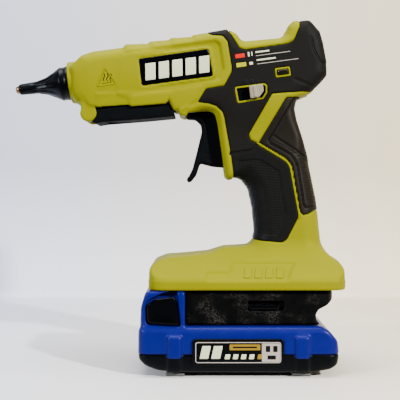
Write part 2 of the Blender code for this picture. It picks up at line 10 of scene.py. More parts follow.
import bpy
import numpy as np
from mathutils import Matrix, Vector


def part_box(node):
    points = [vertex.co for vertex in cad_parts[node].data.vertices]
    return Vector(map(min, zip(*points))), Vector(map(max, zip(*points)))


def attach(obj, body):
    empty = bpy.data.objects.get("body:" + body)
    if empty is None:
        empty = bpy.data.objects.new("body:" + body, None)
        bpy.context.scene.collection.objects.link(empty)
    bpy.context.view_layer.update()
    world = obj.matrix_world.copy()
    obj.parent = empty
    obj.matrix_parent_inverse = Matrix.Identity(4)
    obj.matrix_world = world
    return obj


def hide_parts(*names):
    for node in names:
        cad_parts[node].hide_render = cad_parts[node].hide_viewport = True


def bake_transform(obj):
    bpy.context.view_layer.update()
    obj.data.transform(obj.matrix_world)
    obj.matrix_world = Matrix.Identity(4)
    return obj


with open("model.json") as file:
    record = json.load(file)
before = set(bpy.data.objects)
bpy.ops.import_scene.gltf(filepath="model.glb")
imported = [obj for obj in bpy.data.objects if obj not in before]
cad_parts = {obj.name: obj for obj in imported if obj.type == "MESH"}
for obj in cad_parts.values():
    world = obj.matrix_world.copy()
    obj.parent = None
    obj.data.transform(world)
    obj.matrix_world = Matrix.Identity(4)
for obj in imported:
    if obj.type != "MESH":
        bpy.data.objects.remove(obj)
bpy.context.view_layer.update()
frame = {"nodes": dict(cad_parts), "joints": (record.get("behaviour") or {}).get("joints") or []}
MM = 0.001
SIDES = (("left", -1), ("right", 1))
LEFT = SIDES[:1]


# ---------------------------------------------------------------- places taken from the frame


def box(node):
    """Lowest and highest corner of a CAD node, in millimetres."""
    low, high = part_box(node)
    return np.array(low) / MM, np.array(high) / MM


def middle(node):
    low, high = box(node)
    return (low + high) / 2


def joint(name):
    return next(j for j in frame["joints"] if j["name"] == name)


ALONG = -np.array(joint("carriage_feed")["axis"])  # rearwards along the barrel
CHAMBER = middle("melt_chamber")
CHAMBER_U = 76.15  # middle of the melt chamber behind the nozzle's end
TIP = CHAMBER - CHAMBER_U * ALONG
PIVOT = np.array(joint("trigger_pull")["pos_m"]) / MM
HINGE = np.array(joint("drip_tray_fold")["pos_m"]) / MM

BODY_HALF = 19.3  # half width of the barrel
GRIP_HALF = 16.6
FOOT_HALF = 37.0
SEAM = 0.14  # each shell half stops this far from the centre plane at the surface
SEAM_INSIDE = 0.01  # and this far below it
LET_IN = 1.5  # depth of the soft covers
GAP = 0.22  # gap between a cover and the shell round it
SKIRT_INSIDE = 15.5  # the barrel's side walls reach down past the tray, this far from the centre
FLOOR_OF_FOOT = box("housing_left")[0][2]
RIM_Z = FLOOR_OF_FOOT + 6.8  # top of the foot's upright rim
SLOT_HALF = 7.3  # half width of the slots for the glue stick and the trigger
TRIGGER_TURNS = (0, 4, 8, 12, 16, 20.5)  # degrees of pull that the shell leaves room for
TRIGGER_CLEARANCE = 0.7
RIB_PITCH = 1.7  # of the fine studs and ribs on the grips
PIN_RADIUS = 1.8  # of the holes for the trigger's pin and the tray's
NOSE_BACK = 5.45  # the rear face of the battery's raised front, which the adapter all but touches
SPLIT = box("battery_lower_case")[1][2]  # where the battery's two cases meet
KNOB = (148.2, 157.0, -27.0, -19.0)  # along and above the barrel axis: the knob inside its yellow frame
LABEL_PANEL = 13.8  # width of the pale panel at the end of the battery's label


# ---------------------------------------------------------------- outlines in X and Z: (x, z, corner radius)

BODY = (
    (-70.6, 193.6, 2), (-66.6, 195.0, 3), (-61.0, 200.4, 5), (-53.6, 202.9, 8), (-34.6, 205.4, 1),
    (-32.6, 207.2, 1), (-18.3, 207.5, 0.4), (-17.5, 208.9, 0.5), (-4.8, 210.0, 0.4), (-4.0, 211.2, 0.5),
    (9.2, 211.8, 0.4), (10.0, 212.9, 0.5), (31.5, 216.3, 2), (37.4, 213.2, 2), (40.6, 209.0, 3),
    (43.5, 208.4, 2), (65.6, 210.4, 3), (68.6, 213.0, 3), (70.4, 217.8, 3), (73.6, 221.0, 2),
    (84.0, 222.2, 4), (90.6, 214.8, 4), (92.6, 208.0, 4), (94.9, 196.0, 8), (95.0, 187.0, 3),
    (92.6, 184.0, 3), (85.4, 176.3, 3), (81.2, 174.7, 4), (75.8, 171.4, 4), (74.6, 166.0, 5),
    (76.0, 158.6, 10), (83.4, 135.8, 30), (89.2, 108.0, 30), (90.8, 91.7, 30), (92.8, 74.0, 5),
    (92.8, 60.0, 2), (48.0, 60.0, 2), (48.0, 76.0, 4), (49.3, 88.0, 10), (47.9, 103.0, 20),
    (45.2, 115.2, 8), (40.5, 121.4, 5), (36.1, 122.0, 1), (33.6, 120.9, 2), (31.2, 122.4, 2),
    (30.2, 129.0, 10), (26.2, 156.6, 6), (24.4, 163.4, 4), (19.7, 165.0, 4), (14.6, 164.7, 6),
    (6.6, 163.8, 1), (5.4, 161.0, 2), (2.0, 161.6, 2), (0.9, 165.6, 1), (-1.4, 164.8, 1.5),
    (-5.6, 172.6, 1), (-52.3, 166.7, 2), (-60.8, 168.0, 3), (-64.6, 170.0, 3), (-67.2, 173.6, 3),
    (-69.2, 179.4, 4),
)
FOOT_SIDE = (
    (45.0, 79.2, 10), (29.8, 78.4, 5), (20.0, 75.0, 6), (6.0, 73.4, 12), (-7.6, 72.3, 10),
    (-14.8, 69.2, 6), (-18.0, 64.8, 8), (-18.0, 30.0, 2), (105.4, 30.0, 2), (105.4, 64.0, 8),
    (101.4, 70.4, 8), (92.4, 76.2, 8), (70.0, 80.0, 20),
)
SKIRT = ((-51.5, 176.0, 1), (-51.5, 165.6, 1.5), (-6.8, 169.3, 1.5), (-3.4, 176.0, 1))
FOOT_PLAN = ((-18.0, -37.0, 13), (105.4, -37.0, 14), (105.4, 37.0, 14), (-18.0, 37.0, 13))
NOSE_PLAN = (
    (-71.2, -9.0, 4), (-66.4, -15.6, 5), (-56.0, -19.6, 10), (130.0, -19.6, 2), (130.0, 19.6, 2),
    (-56.0, 19.6, 10), (-66.4, 15.6, 5), (-71.2, 9.0, 4),
)
COVER = (
    (12.0, 218.0, 0), (22.4, 211.7, 0.6), (28.6, 211.4, 3.2), (31.9, 207.6, 3), (34.4, 192.0, 4),
    (34.4, 188.6, 2), (29.8, 180.1, 1.2), (18.2, 178.1, 0.8), (12.9, 169.6, 0.6), (19.7, 168.9, 4),
    (24.9, 167.2, 4), (28.8, 163.5, 4), (29.9, 159.7, 6), (31.8, 149.0, 20), (33.9, 137.6, 0.6),
    (46.0, 139.4, 2), (48.4, 140.4, 2), (50.6, 144.2, 0.6), (46.4, 146.0, 1.6), (45.4, 149.6, 1.6),
    (59.9, 174.9, 1), (86.0, 176.8, 0.5), (104.0, 178.0, 0), (108.0, 232.0, 0), (77.4, 232.0, 0),
    (77.2, 217.6, 3), (73.6, 208.6, 4), (69.5, 206.5, 3), (43.0, 202.6, 2), (39.6, 203.4, 2),
    (33.4, 213.4, 3), (30.2, 222.0, 0),
)
FRONT_GRIP = (
    (34.0, 137.2, 0.6), (45.9, 139.0, 2), (48.0, 140.0, 2), (50.2, 143.4, 0.5), (68.2, 132.8, 4),
    (71.4, 128.6, 4), (76.4, 100.6, 4), (76.6, 97.0, 2), (69.6, 83.4, 2), (67.0, 81.2, 3),
    (53.6, 82.2, 4), (40.0, 84.2, 0), (30.0, 110.0, 0), (35.6, 120.6, 0), (35.6, 125.0, 2),
)
REAR_GRIP = (
    (51.6, 144.4, 0.4), (68.6, 172.6, 1.2), (84.0, 173.9, 0.4), (104.0, 174.6, 0), (104.0, 101.8, 0),
    (87.6, 101.4, 1), (82.6, 99.0, 2), (79.4, 98.4, 1.5), (77.8, 100.8, 1), (72.8, 129.2, 4),
    (69.4, 134.0, 4),
)
PIPING = (
    (50.4, 144.1, 0.2), (51.1, 144.2, 0.2), (69.0, 133.5, 4), (72.1, 129.0, 4), (77.3, 100.8, 4),
    (77.6, 96.6, 0.3), (76.9, 96.4, 0.3), (76.5, 100.7, 4), (71.2, 128.6, 4), (68.2, 132.7, 4),
)
PIPING_LINE = (
    (50.9, 144.0), (66.6, 134.35), (69.2, 132.5), (70.9, 130.2), (71.8, 128.0), (76.7, 101.6),
    (77.2, 98.6), (77.3, 96.6),
)
TEXTURE = (
    (38.6, 133.2, 1), (50.2, 134.2, 2), (53.6, 133.4, 2), (65.2, 126.4, 1), (66.0, 121.0, 2),
    (69.2, 99.0, 5), (66.8, 91.4, 4), (63.2, 85.4, 1.5), (42.0, 85.8, 0), (34.0, 110.0, 0),
    (35.0, 124.0, 0),
)
BADGE = ((-24.2, 197.0, 1.8), (20.1, 203.3, 1.8), (23.2, 185.7, 1.8), (-22.2, 179.5, 1.8))
RECESS = (
    (-20.0, 203.4, 1), (25.2, 209.0, 3), (28.0, 205.8, 3), (30.4, 190.0, 3), (27.0, 183.2, 2),
    (-14.0, 177.4, 1),
)
LIP = (
    (-28.9, 174.1, 0.4), (17.4, 180.6, 0.5), (12.6, 171.0, 0.5), (0.0, 160.0, 0.5), (-29.6, 160.0, 0.5),
)
TRIM = (
    (1.0, 162.0, 2), (2.4, 166.6, 3), (6.0, 168.0, 3), (19.7, 169.0, 5), (24.9, 167.3, 4),
    (28.9, 163.5, 4), (30.1, 159.7, 6), (35.4, 126.0, 6), (35.6, 120.0, 1), (24.0, 118.0, 0),
    (22.0, 163.0, 4), (6.0, 159.0, 1),
)
TRIANGLE = ((-45.2, 192.0, 0.6), (-50.4, 179.0, 0.6), (-37.4, 180.9, 0.6))
BAND = (
    (46.4, 145.9, 1.6), (45.3, 149.6, 1.6), (59.8, 175.0, 1), (86.0, 176.9, 0.4), (104.0, 178.0, 0),
    (104.0, 174.5, 0), (84.0, 173.8, 0.4), (68.7, 172.5, 1.2), (51.4, 144.2, 0.5),
)
RIM = (
    (30.2, 222.0, 0), (33.4, 213.4, 3), (39.6, 203.4, 2), (43.0, 202.6, 2), (69.5, 206.5, 3),
    (73.6, 208.6, 4), (77.2, 217.6, 3), (77.4, 232.0, 0),
)
TRIGGER = (
    (5.6, 164.6, 1), (6.0, 160.0, 1.2), (11.6, 159.6, 3), (15.2, 156.4, 4), (15.7, 151.6, 6),
    (12.4, 138.0, 12), (9.9, 128.2, 8), (7.6, 123.4, 4), (6.0, 121.6, 1.6), (6.6, 119.0, 1.4),
    (8.9, 119.6, 1.6), (12.2, 123.8, 6), (14.7, 131.4, 1.5), (22.8, 129.3, 10), (31.0, 128.6, 1),
    (34.0, 160.0, 4), (34.4, 178.3, 1.5), (29.3, 178.3, 1.5), (29.0, 168.5, 3), (22.0, 164.6, 3),
)
TRAY = (
    (-52.4, 165.3, 0.8), (-5.0, 171.0, 0.8), (-0.8, 161.2, 1.2), (-21.0, 159.3, 4), (-46.0, 157.4, 3),
    (-51.6, 156.4, 1.6), (-54.4, 158.6, 2),
)
ADAPTER = (
    (5.0, 52.6, 0.1), (97.0, 52.6, 2), (97.0, 47.0, 3), (92.8, 43.4, 3), (87.6, 40.8, 3), (85.8, 37.4, 3),
    (86.4, 34.2, 1), (88.0, 32.6, 0.6), (88.0, 31.4, 0.3), (5.0, 31.4, 0.1),
)
BATTERY = (
    (-24.0, 5.0, 1), (-23.6, 31.0, 5), (5.3, 31.0, 1), (89.6, 31.0, 4), (94.2, 27.8, 6), (99.2, 21.8, 6),
    (100.6, 13.0, 2), (100.6, 5.0, 2),
)
NOSE = (
    (-23.2, 20.0, 2), (-22.0, 42.0, 6), (-18.8, 52.2, 2.5), (-12.0, 52.6, 3), (6.6, 52.5, 1),
    (6.6, 29.0, 1), (6.6, 20.0, 1),
)
TRAY_CASE = (
    (-23.8, 24.0, 0.5), (-23.4, 11.4, 4), (-18.8, 6.8, 4), (-11.6, 4.2, 5), (0.0, 2.8, 4), (84.0, 2.7, 6),
    (94.6, 4.8, 6), (98.8, 7.6, 4), (100.4, 12.0, 3), (100.4, 24.0, 0.5),
)
RELEASE = ((-17.2, 33.2, 3), (1.4, 31.9, 1.5), (-0.4, 49.0, 2), (-12.6, 47.6, 5), (-17.4, 44.6, 3))
POCKET = ((-18.6, 31.9, 3.5), (2.9, 30.9, 1.2), (0.5, 52.8, 1.5), (-8.0, 51.6, 7), (-18.8, 46.4, 6))

SWITCH = (
    (36.4, 178.9, 1.4), (55.0, 181.2, 1.0), (56.6, 180.0, 1.2), (56.6, 175.3, 1.5), (54.2, 171.6, 1.2),
    (38.3, 168.9, 1.4),
)
LENS = ((61.6, 190.5, 0.8), (70.7, 191.7, 0.8), (71.5, 186.2, 0.8), (62.4, 185.0, 0.8))
REAR_LINE = (
    (76.0, 175.5), (73.1, 171.1), (60.2, 149.4), (57.6, 145.9), (58.9, 143.9), (71.6, 136.9),
    (75.1, 132.1), (76.4, 128.9), (80.2, 105.0), (81.4, 103.3), (92.0, 105.4),
)
COVER_SEAM = ((33.6, 137.2), (45.9, 139.0), (48.0, 140.0), (50.2, 143.2))
REAR_CREASE = ((60.6, 149.0), (82.5, 134.6))
REAR_RIDGE = ((84.3, 210.0), (85.0, 206.0), (86.6, 200.8), (90.2, 195.6), (98.0, 192.0))
COVER_CREASE = ((74.4, 183.9), (85.1, 179.5), (96.0, 176.0))
REAR_PAD = (
    (62.0, 146.4, 1), (73.4, 139.6, 2), (84.0, 132.6, 0), (104.0, 130.0, 0), (104.0, 106.0, 0),
    (84.0, 105.4, 1), (82.0, 107.0, 1), (78.6, 129.6, 2), (76.4, 134.6, 2),
)
DARK_SEAM = (
    (33.0, 136.4, 0), (45.7, 138.0, 2), (48.3, 139.2, 2), (50.6, 142.8, 0.3), (50.2, 144.6, 0.3),
    (47.6, 141.4, 2), (45.6, 140.2, 2), (33.0, 138.4, 0),
)
FOOT_RECESS = (
    (17.7, 64.2, 1), (34.0, 64.2, 1), (32.6, 69.6, 1), (75.0, 69.8, 1), (70.4, 62.8, 2), (68.8, 59.0, 1),
    (18.6, 58.8, 1),
)
FRONT_STEP = (
    (-90, 235, 0), (-30.0, 235, 0), (-33.2, 205.0, 0.5), (-34.6, 199.0, 1), (-37.0, 174.4, 1.5),
    (-33.0, 173.6, 1), (-29.2, 172.0, 1), (-29.2, 150.0, 0), (-90, 150, 0),
)
RIDGE = ((-32.6, 200.4), (-8.0, 203.8))
TRIGGER_SIDE = ((18.4, 155.0, 2), (27.4, 156.0, 1), (30.2, 131.0, 1), (24.0, 131.4, 1), (17.0, 133.6, 2))
LATCH_HOLLOW = ((45.0, 50.6), (47.4, 48.6), (52.0, 47.8), (60.0, 47.8), (64.6, 48.6), (67.0, 50.6))
LATCH = ((44.6, 40.8, 1.0), (63.4, 40.8, 1.0), (63.4, 44.4, 1.0), (44.6, 44.4, 1.0))
# The nozzle's outlines: (distance from its end, radius).
SLEEVE_PROFILE = (
    (0, 2.9), (1.8, 3.1), (3.0, 3.5), (14.0, 4.0), (16.0, 4.6), (20.0, 5.6), (26.0, 8.7), (29.5, 10.7),
    (31.5, 11.0), (45, 11.0),
)
SLEEVE_BORE = ((0, 2.95), (14, 3.1), (23.8, 4.7), (30.8, 7.4), (50, 7.4))
TIP_PROFILE = ((0, 1.7), (0.8, 2.3), (2.0, 2.6), (14, 2.75), (24, 4.2), (31, 7.0), (44, 7.0))
TIP_BORE = ((0, 1.0), (22, 1.0), (34, 4.6), (50, 4.6))
DARK_AREAS = (COVER, FRONT_GRIP, REAR_GRIP, PIPING, DARK_SEAM)


# ---------------------------------------------------------------- plain blocks: (start, end, bottom, top)
# They stand where lettering would be, along and above the barrel axis.

BADGE_STRIPES = tuple((84.4 + 8.5 * k, 91.0 + 8.5 * k, -7.0, 3.6) for k in range(5))
SWITCH_MARKS = ((143.6, 147.6, -17.6, -14.4), (149.0, 151.8, -17.4, -15.0), (153.0, 154.6, -17.2, -15.6))
LEGEND_WORDS = (
    (150.2, 151.4, -0.6, 2.4), (152.4, 153.2, -0.4, 2.4), (155.0, 164.0, 1.0, 2.1),
    (150.4, 152.8, -5.8, -4.0), (155.2, 167.4, -4.0, -2.9),
)
LEGEND_LINES = ((154.8, 177.0, -0.9, -0.4), (155.2, 181.6, -6.1, -5.6))
LEGEND_RED = ((142.2, 148.4, -0.8, 2.0),)
LEGEND_YELLOW = ((142.2, 148.6, -6.4, -3.6),)

# The battery label's blocks, from its front end or from the panel at its rear end.
LABEL_BIG_BLOCKS = ((4.4, 9.8, 4.4, 12.4), (11.4, 17.0, 4.4, 12.4))
LABEL_TAIL = ((39.4, 42.2, 4.2, 7.4),)
LABEL_STRIPE = ((-19.6, -0.7, 9.6, 13.4),)
LABEL_MARKS = (
    (2.4, 5.4, 8.6, 12.6), (6.8, 9.8, 8.6, 12.6), (3.4, 8.8, 4.0, 6.8), (-17.6, -2.6, 10.8, 12.2),
)


# ---------------------------------------------------------------- fields


class Space:
    """A regular grid of sample points, in millimetres."""

    def __init__(self, low, high, step):
        low, high = np.array(low, float) - 2 * step, np.array(high, float) + 2 * step
        axes = [np.arange(a, b + step, step) for a, b in zip(low, high)]
        self.low = np.array([a[0] for a in axes])
        self.step = step
        self.x = axes[0][:, None, None].astype(np.float32)
        self.y = axes[1][None, :, None].astype(np.float32)
        self.z = axes[2][None, None, :].astype(np.float32)
        along, up = ALONG[0], ALONG[2]
        self.u = (self.x - TIP[0]) * along + (self.z - TIP[2]) * up
        self.v = (self.z - TIP[2]) * along - (self.x - TIP[0]) * up
        self.shape = tuple(len(a) for a in axes)


def rounded(corners, steps=5):
    """The outline's points, with each corner (a, b, radius) turned into an arc."""
    points = []
    for i, (a, b, radius) in enumerate(corners):
        here = Vector((a, b))
        before = Vector(corners[i - 1][:2]) - here
        after = Vector(corners[(i + 1) % len(corners)][:2]) - here
        half = before.angle(after) / 2
        if radius < 0.05 or math.pi / 2 - half < 0.03:
            points.append(here)
            continue
        reach = min(radius / math.tan(half), 0.48 * before.length, 0.48 * after.length)
        start, end = here + before.normalized() * reach, here + after.normalized() * reach
        for k in range(steps + 1):
            t = k / steps
            points.append((1 - t) ** 2 * start + 2 * t * (1 - t) * here + t * t * end)
    return np.array([tuple(p) for p in points])


def flat(corners, a, b):
    """Signed distance from a closed outline to the points (a, b), negative inside."""
    points = rounded(corners)
    nearest = np.full(np.broadcast_shapes(a.shape, b.shape), 1e12, np.float32)
    inside = np.zeros(nearest.shape, bool)
    for (pa, pb), (qa, qb) in zip(points, np.roll(points, -1, axis=0)):
        ea, eb = qa - pa, qb - pb
        length = ea * ea + eb * eb
        if length < 1e-9:
            continue
        wa, wb = a - pa, b - pb
        t = np.clip((wa * ea + wb * eb) / length, 0, 1)
        nearest = np.minimum(nearest, (wa - ea * t) ** 2 + (wb - eb * t) ** 2)
        if abs(eb) > 1e-9:
            inside ^= ((pb > b) != (qb > b)) & (wa < ea * wb / eb)
    return np.where(inside, -1, 1).astype(np.float32) * np.sqrt(nearest)


def stroke(start, end, radius, a, b):
    """Distance from a round-ended bar between two points of the plane."""
    ea, eb = end[0] - start[0], end[1] - start[1]
    wa, wb = a - start[0], b - start[1]
    t = np.clip((wa * ea + wb * eb) / max(ea * ea + eb * eb, 1e-9), 0, 1)
    return np.hypot(wa - ea * t, wb - eb * t) - radius


def path(points, radius, a, b):
    """Distance from a bar that follows several points."""
    return np.minimum.reduce([stroke(p, q, radius, a, b) for p, q in zip(points, points[1:])])


def prism(shape, across, half, edge):
    """A flat shape given a thickness on both sides of zero, with rounded edges."""
    a = shape + edge
    b = np.abs(across) - half + edge
    return np.minimum(np.maximum(a, b), 0) + np.hypot(np.maximum(a, 0), np.maximum(b, 0)) - edge


def block(x, y, z, low, high, edge):
    """A box between two corners, with rounded edges."""
    parts = [np.maximum(a - axis, axis - b) + edge for axis, a, b in zip((x, y, z), low, high)]
    inner = np.minimum(np.maximum.reduce(np.broadcast_arrays(*parts)), 0)
    outer = np.sqrt(sum(np.maximum(p, 0) ** 2 for p in parts))
    return inner + outer - edge


def melt(a, b, k):
    """Both solids joined, with a fillet."""
    h = np.clip(0.5 + 0.5 * (b - a) / k, 0, 1)
    return b + (a - b) * h - k * h * (1 - h)


def meet(a, b, k):
    """The space in both solids, with a rounded edge."""
    return -melt(-a, -b, k)


def carve(a, b, k=0.4):
    """The first solid without the second."""
    return -melt(-a, b, k)


def ease(low, high, values):
    """A smooth rise from 0 at low to 1 at high."""
    t = np.clip((values - low) / (high - low), 0, 1)
    return t * t * (3 - 2 * t)


def within(shape, bevel):
    """1 inside a flat shape and 0 outside it, with a sloping edge of the given width."""
    return ease(0, bevel, -shape)


# ---------------------------------------------------------------- meshing

CORNERS = np.array([(i, j, k) for i in (0, 1) for j in (0, 1) for k in (0, 1)])
CELL_EDGES = [(a, b) for a in range(8) for b in range(a + 1, 8) if abs(CORNERS[a] - CORNERS[b]).sum() == 1]


def cell_points(field, cells):
    """For each cell, the mean of the points where the surface crosses its edges."""
    values = np.stack([field[tuple((cells + c).T)] for c in CORNERS], 1)
    total, hits = np.zeros((len(cells), 3)), np.zeros(len(cells))
    for a, b in CELL_EDGES:
        fa, fb = values[:, a], values[:, b]
        cross = (fa < 0) != (fb < 0)
        t = np.where(cross, fa / np.where(cross, fa - fb, 1), 0)
        total += cross[:, None] * (CORNERS[a] + t[:, None] * (CORNERS[b] - CORNERS[a]))
        hits += cross
    return total / hits[:, None], values


def corner_shares(points):
    return np.stack([np.prod(np.where(c, points, 1 - points), axis=1) for c in CORNERS], 1)


def settle(field, cells, step):
    """Points moved onto the surface, and the surface's direction at each."""
    points, values = cell_points(field, cells)
    slopes = np.gradient(field, step)
    at_corners = np.stack([np.stack([g[tuple((cells + c).T)] for g in slopes], 1) for c in CORNERS], 1)
    for _ in range(2):
        share = corner_shares(points)
        normal = (share[:, :, None] * at_corners).sum(1)
        value = (share * values).sum(1)
        size = np.maximum((normal**2).sum(1), 0.05)
        points = np.clip(points - (value / size)[:, None] * normal / step, 0.02, 0.98)
    normal = (corner_shares(points)[:, :, None] * at_corners).sum(1)
    return points, normal / np.maximum(np.linalg.norm(normal, axis=1), 1e-6)[:, None]


def faces_of(inside, number):
    """One four-sided face for each grid edge that the surface crosses."""
    found = []
    for axis in range(3):
        others = [a for a in range(3) if a != axis]
        turned = np.moveaxis(inside, [axis] + others, [0, 1, 2])
        cells = np.moveaxis(number, [axis] + others, [0, 1, 2])
        first, second = turned[:-1, 1:-1, 1:-1], turned[1:, 1:-1, 1:-1]
        i, j, k = np.nonzero(first != second)
        quad = np.stack([cells[i, j, k], cells[i, j + 1, k], cells[i, j + 1, k + 1], cells[i, j, k + 1]], 1)
        flip = first[i, j, k] == (axis == 1)
        quad[flip] = quad[flip][:, ::-1]
        found.append(quad)
    return np.concatenate(found)


def solid(name, field, space):
    """A mesh object of the field's zero surface."""
    field = np.ascontiguousarray(np.broadcast_to(field, space.shape), np.float32)
    inside = field < 0
    count = np.zeros([n - 1 for n in space.shape], np.int8)
    a, b, c = count.shape
    for i, j, k in CORNERS:
        count += inside[i:i + a, j:j + b, k:k + c]
    cells = np.argwhere((count > 0) & (count < 8))
    number = np.full(count.shape, -1, np.int32)
    number[tuple(cells.T)] = np.arange(len(cells))
    points, normals = settle(field, cells, space.step)
    places = (space.low + (cells + points) * space.step) * MM
    faces = faces_of(inside, number)
    mesh = bpy.data.meshes.new(name)
    mesh.vertices.add(len(places))
    mesh.vertices.foreach_set("co", places.astype(np.float32).ravel())
    mesh.loops.add(faces.size)
    mesh.loops.foreach_set("vertex_index", faces.astype(np.int32).ravel())
    mesh.polygons.add(len(faces))
    mesh.polygons.foreach_set("loop_start", np.arange(0, faces.size, 4, dtype=np.int32))
    mesh.polygons.foreach_set("use_smooth", np.ones(len(faces), bool))
    mesh.update(calc_edges=True)
    mesh.normals_split_custom_set_from_vertices(normals.astype(np.float32))
    obj = bpy.data.objects.new(name, mesh)
    bpy.context.scene.collection.objects.link(obj)
    return obj


def piece(name, field, space, shade, body, nodes=()):
    """A finished piece: meshed, given its material, and parented to an empty named after its CAD body."""
    obj = solid(name, field, space)
    obj.data.materials.append(SHADES[shade])
    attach(obj, body)
    if nodes:
        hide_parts(*nodes)
    return obj


# ---------------------------------------------------------------- materials


def noise(tree, where, size, detail=3.0):
    """Noise whose features are about the given size in millimetres."""
    made = tree.nodes.new("ShaderNodeTexNoise")
    made.inputs["Scale"].default_value = 1 / (size * MM)
    made.inputs["Detail"].default_value = detail
    tree.links.new(where.outputs["Object"], made.inputs["Vector"])
    return made.outputs["Fac"]


def spread(tree, source, low, high, start=0.3, end=0.7):
    made = tree.nodes.new("ShaderNodeMapRange")
    for name, value in (("From Min", start), ("From Max", end), ("To Min", low), ("To Max", high)):
        made.inputs[name].default_value = value
    tree.links.new(source, made.inputs["Value"])
    return made.outputs["Result"]


def two_tone(tree, source, first, second):
    """A mix of two colours, each given as three numbers or as another node's output."""
    made = tree.nodes.new("ShaderNodeMix")
    made.data_type = "RGBA"
    for name, colour in (("A", first), ("B", second)):
        if isinstance(colour, tuple):
            made.inputs[name].default_value = (*colour, 1)
        else:
            tree.links.new(colour, made.inputs[name])
    tree.links.new(source, made.inputs["Factor"])
    return made.outputs["Result"]


def combine(tree, operation, first, second):
    """Two values brought together by a Math node."""
    made = tree.nodes.new("ShaderNodeMath")
    made.operation = operation
    tree.links.new(first, made.inputs[0])
    tree.links.new(second, made.inputs[1])
    return made.outputs["Value"]


def finish(
    name, colour, rough, metal=0.0, grain=0.25, size=0.5, tone=0.06, second=None, cloud=25.0, shine=0.5,
    tint=None, dust=None,
):
    """A moulded, rubber or metal surface: cloudy colour, fine grain, uneven gloss and, if asked, dust."""
    made = bpy.data.materials.new(name)
    made.use_nodes = True
    tree = made.node_tree
    shader = tree.nodes["Principled BSDF"]
    where = tree.nodes.new("ShaderNodeTexCoord")
    low = tuple(c * (1 - tone) for c in colour)
    high = second or tuple(min(1, c * (1 + tone)) for c in colour)
    clouds = spread(tree, noise(tree, where, cloud, 5.0), 0, 1)
    base = two_tone(tree, clouds, low, high)
    if dust:
        patch = spread(tree, noise(tree, where, 16.0, 2.0), 0, 1, 0.46, 0.66)
        specks = spread(tree, noise(tree, where, 0.9, 6.0), 0, 1, 0.46, 0.66)
        base = two_tone(tree, combine(tree, "MULTIPLY", patch, specks), base, dust)
    tree.links.new(base, shader.inputs["Base Color"])
    fine = noise(tree, where, size, 4.0)
    uneven = spread(tree, noise(tree, where, 6.0), rough - 0.05, rough + 0.06)
    tree.links.new(uneven, shader.inputs["Roughness"])
    bump = tree.nodes.new("ShaderNodeBump")
    bump.inputs["Strength"].default_value = grain
    bump.inputs["Distance"].default_value = 0.15 * size * MM
    tree.links.new(fine, bump.inputs["Height"])
    tree.links.new(bump.outputs["Normal"], shader.inputs["Normal"])
    shader.inputs["Metallic"].default_value = metal
    shader.inputs["Specular IOR Level"].default_value = shine
    if tint:
        shader.inputs["Specular Tint"].default_value = (*tint, 1)
    return made


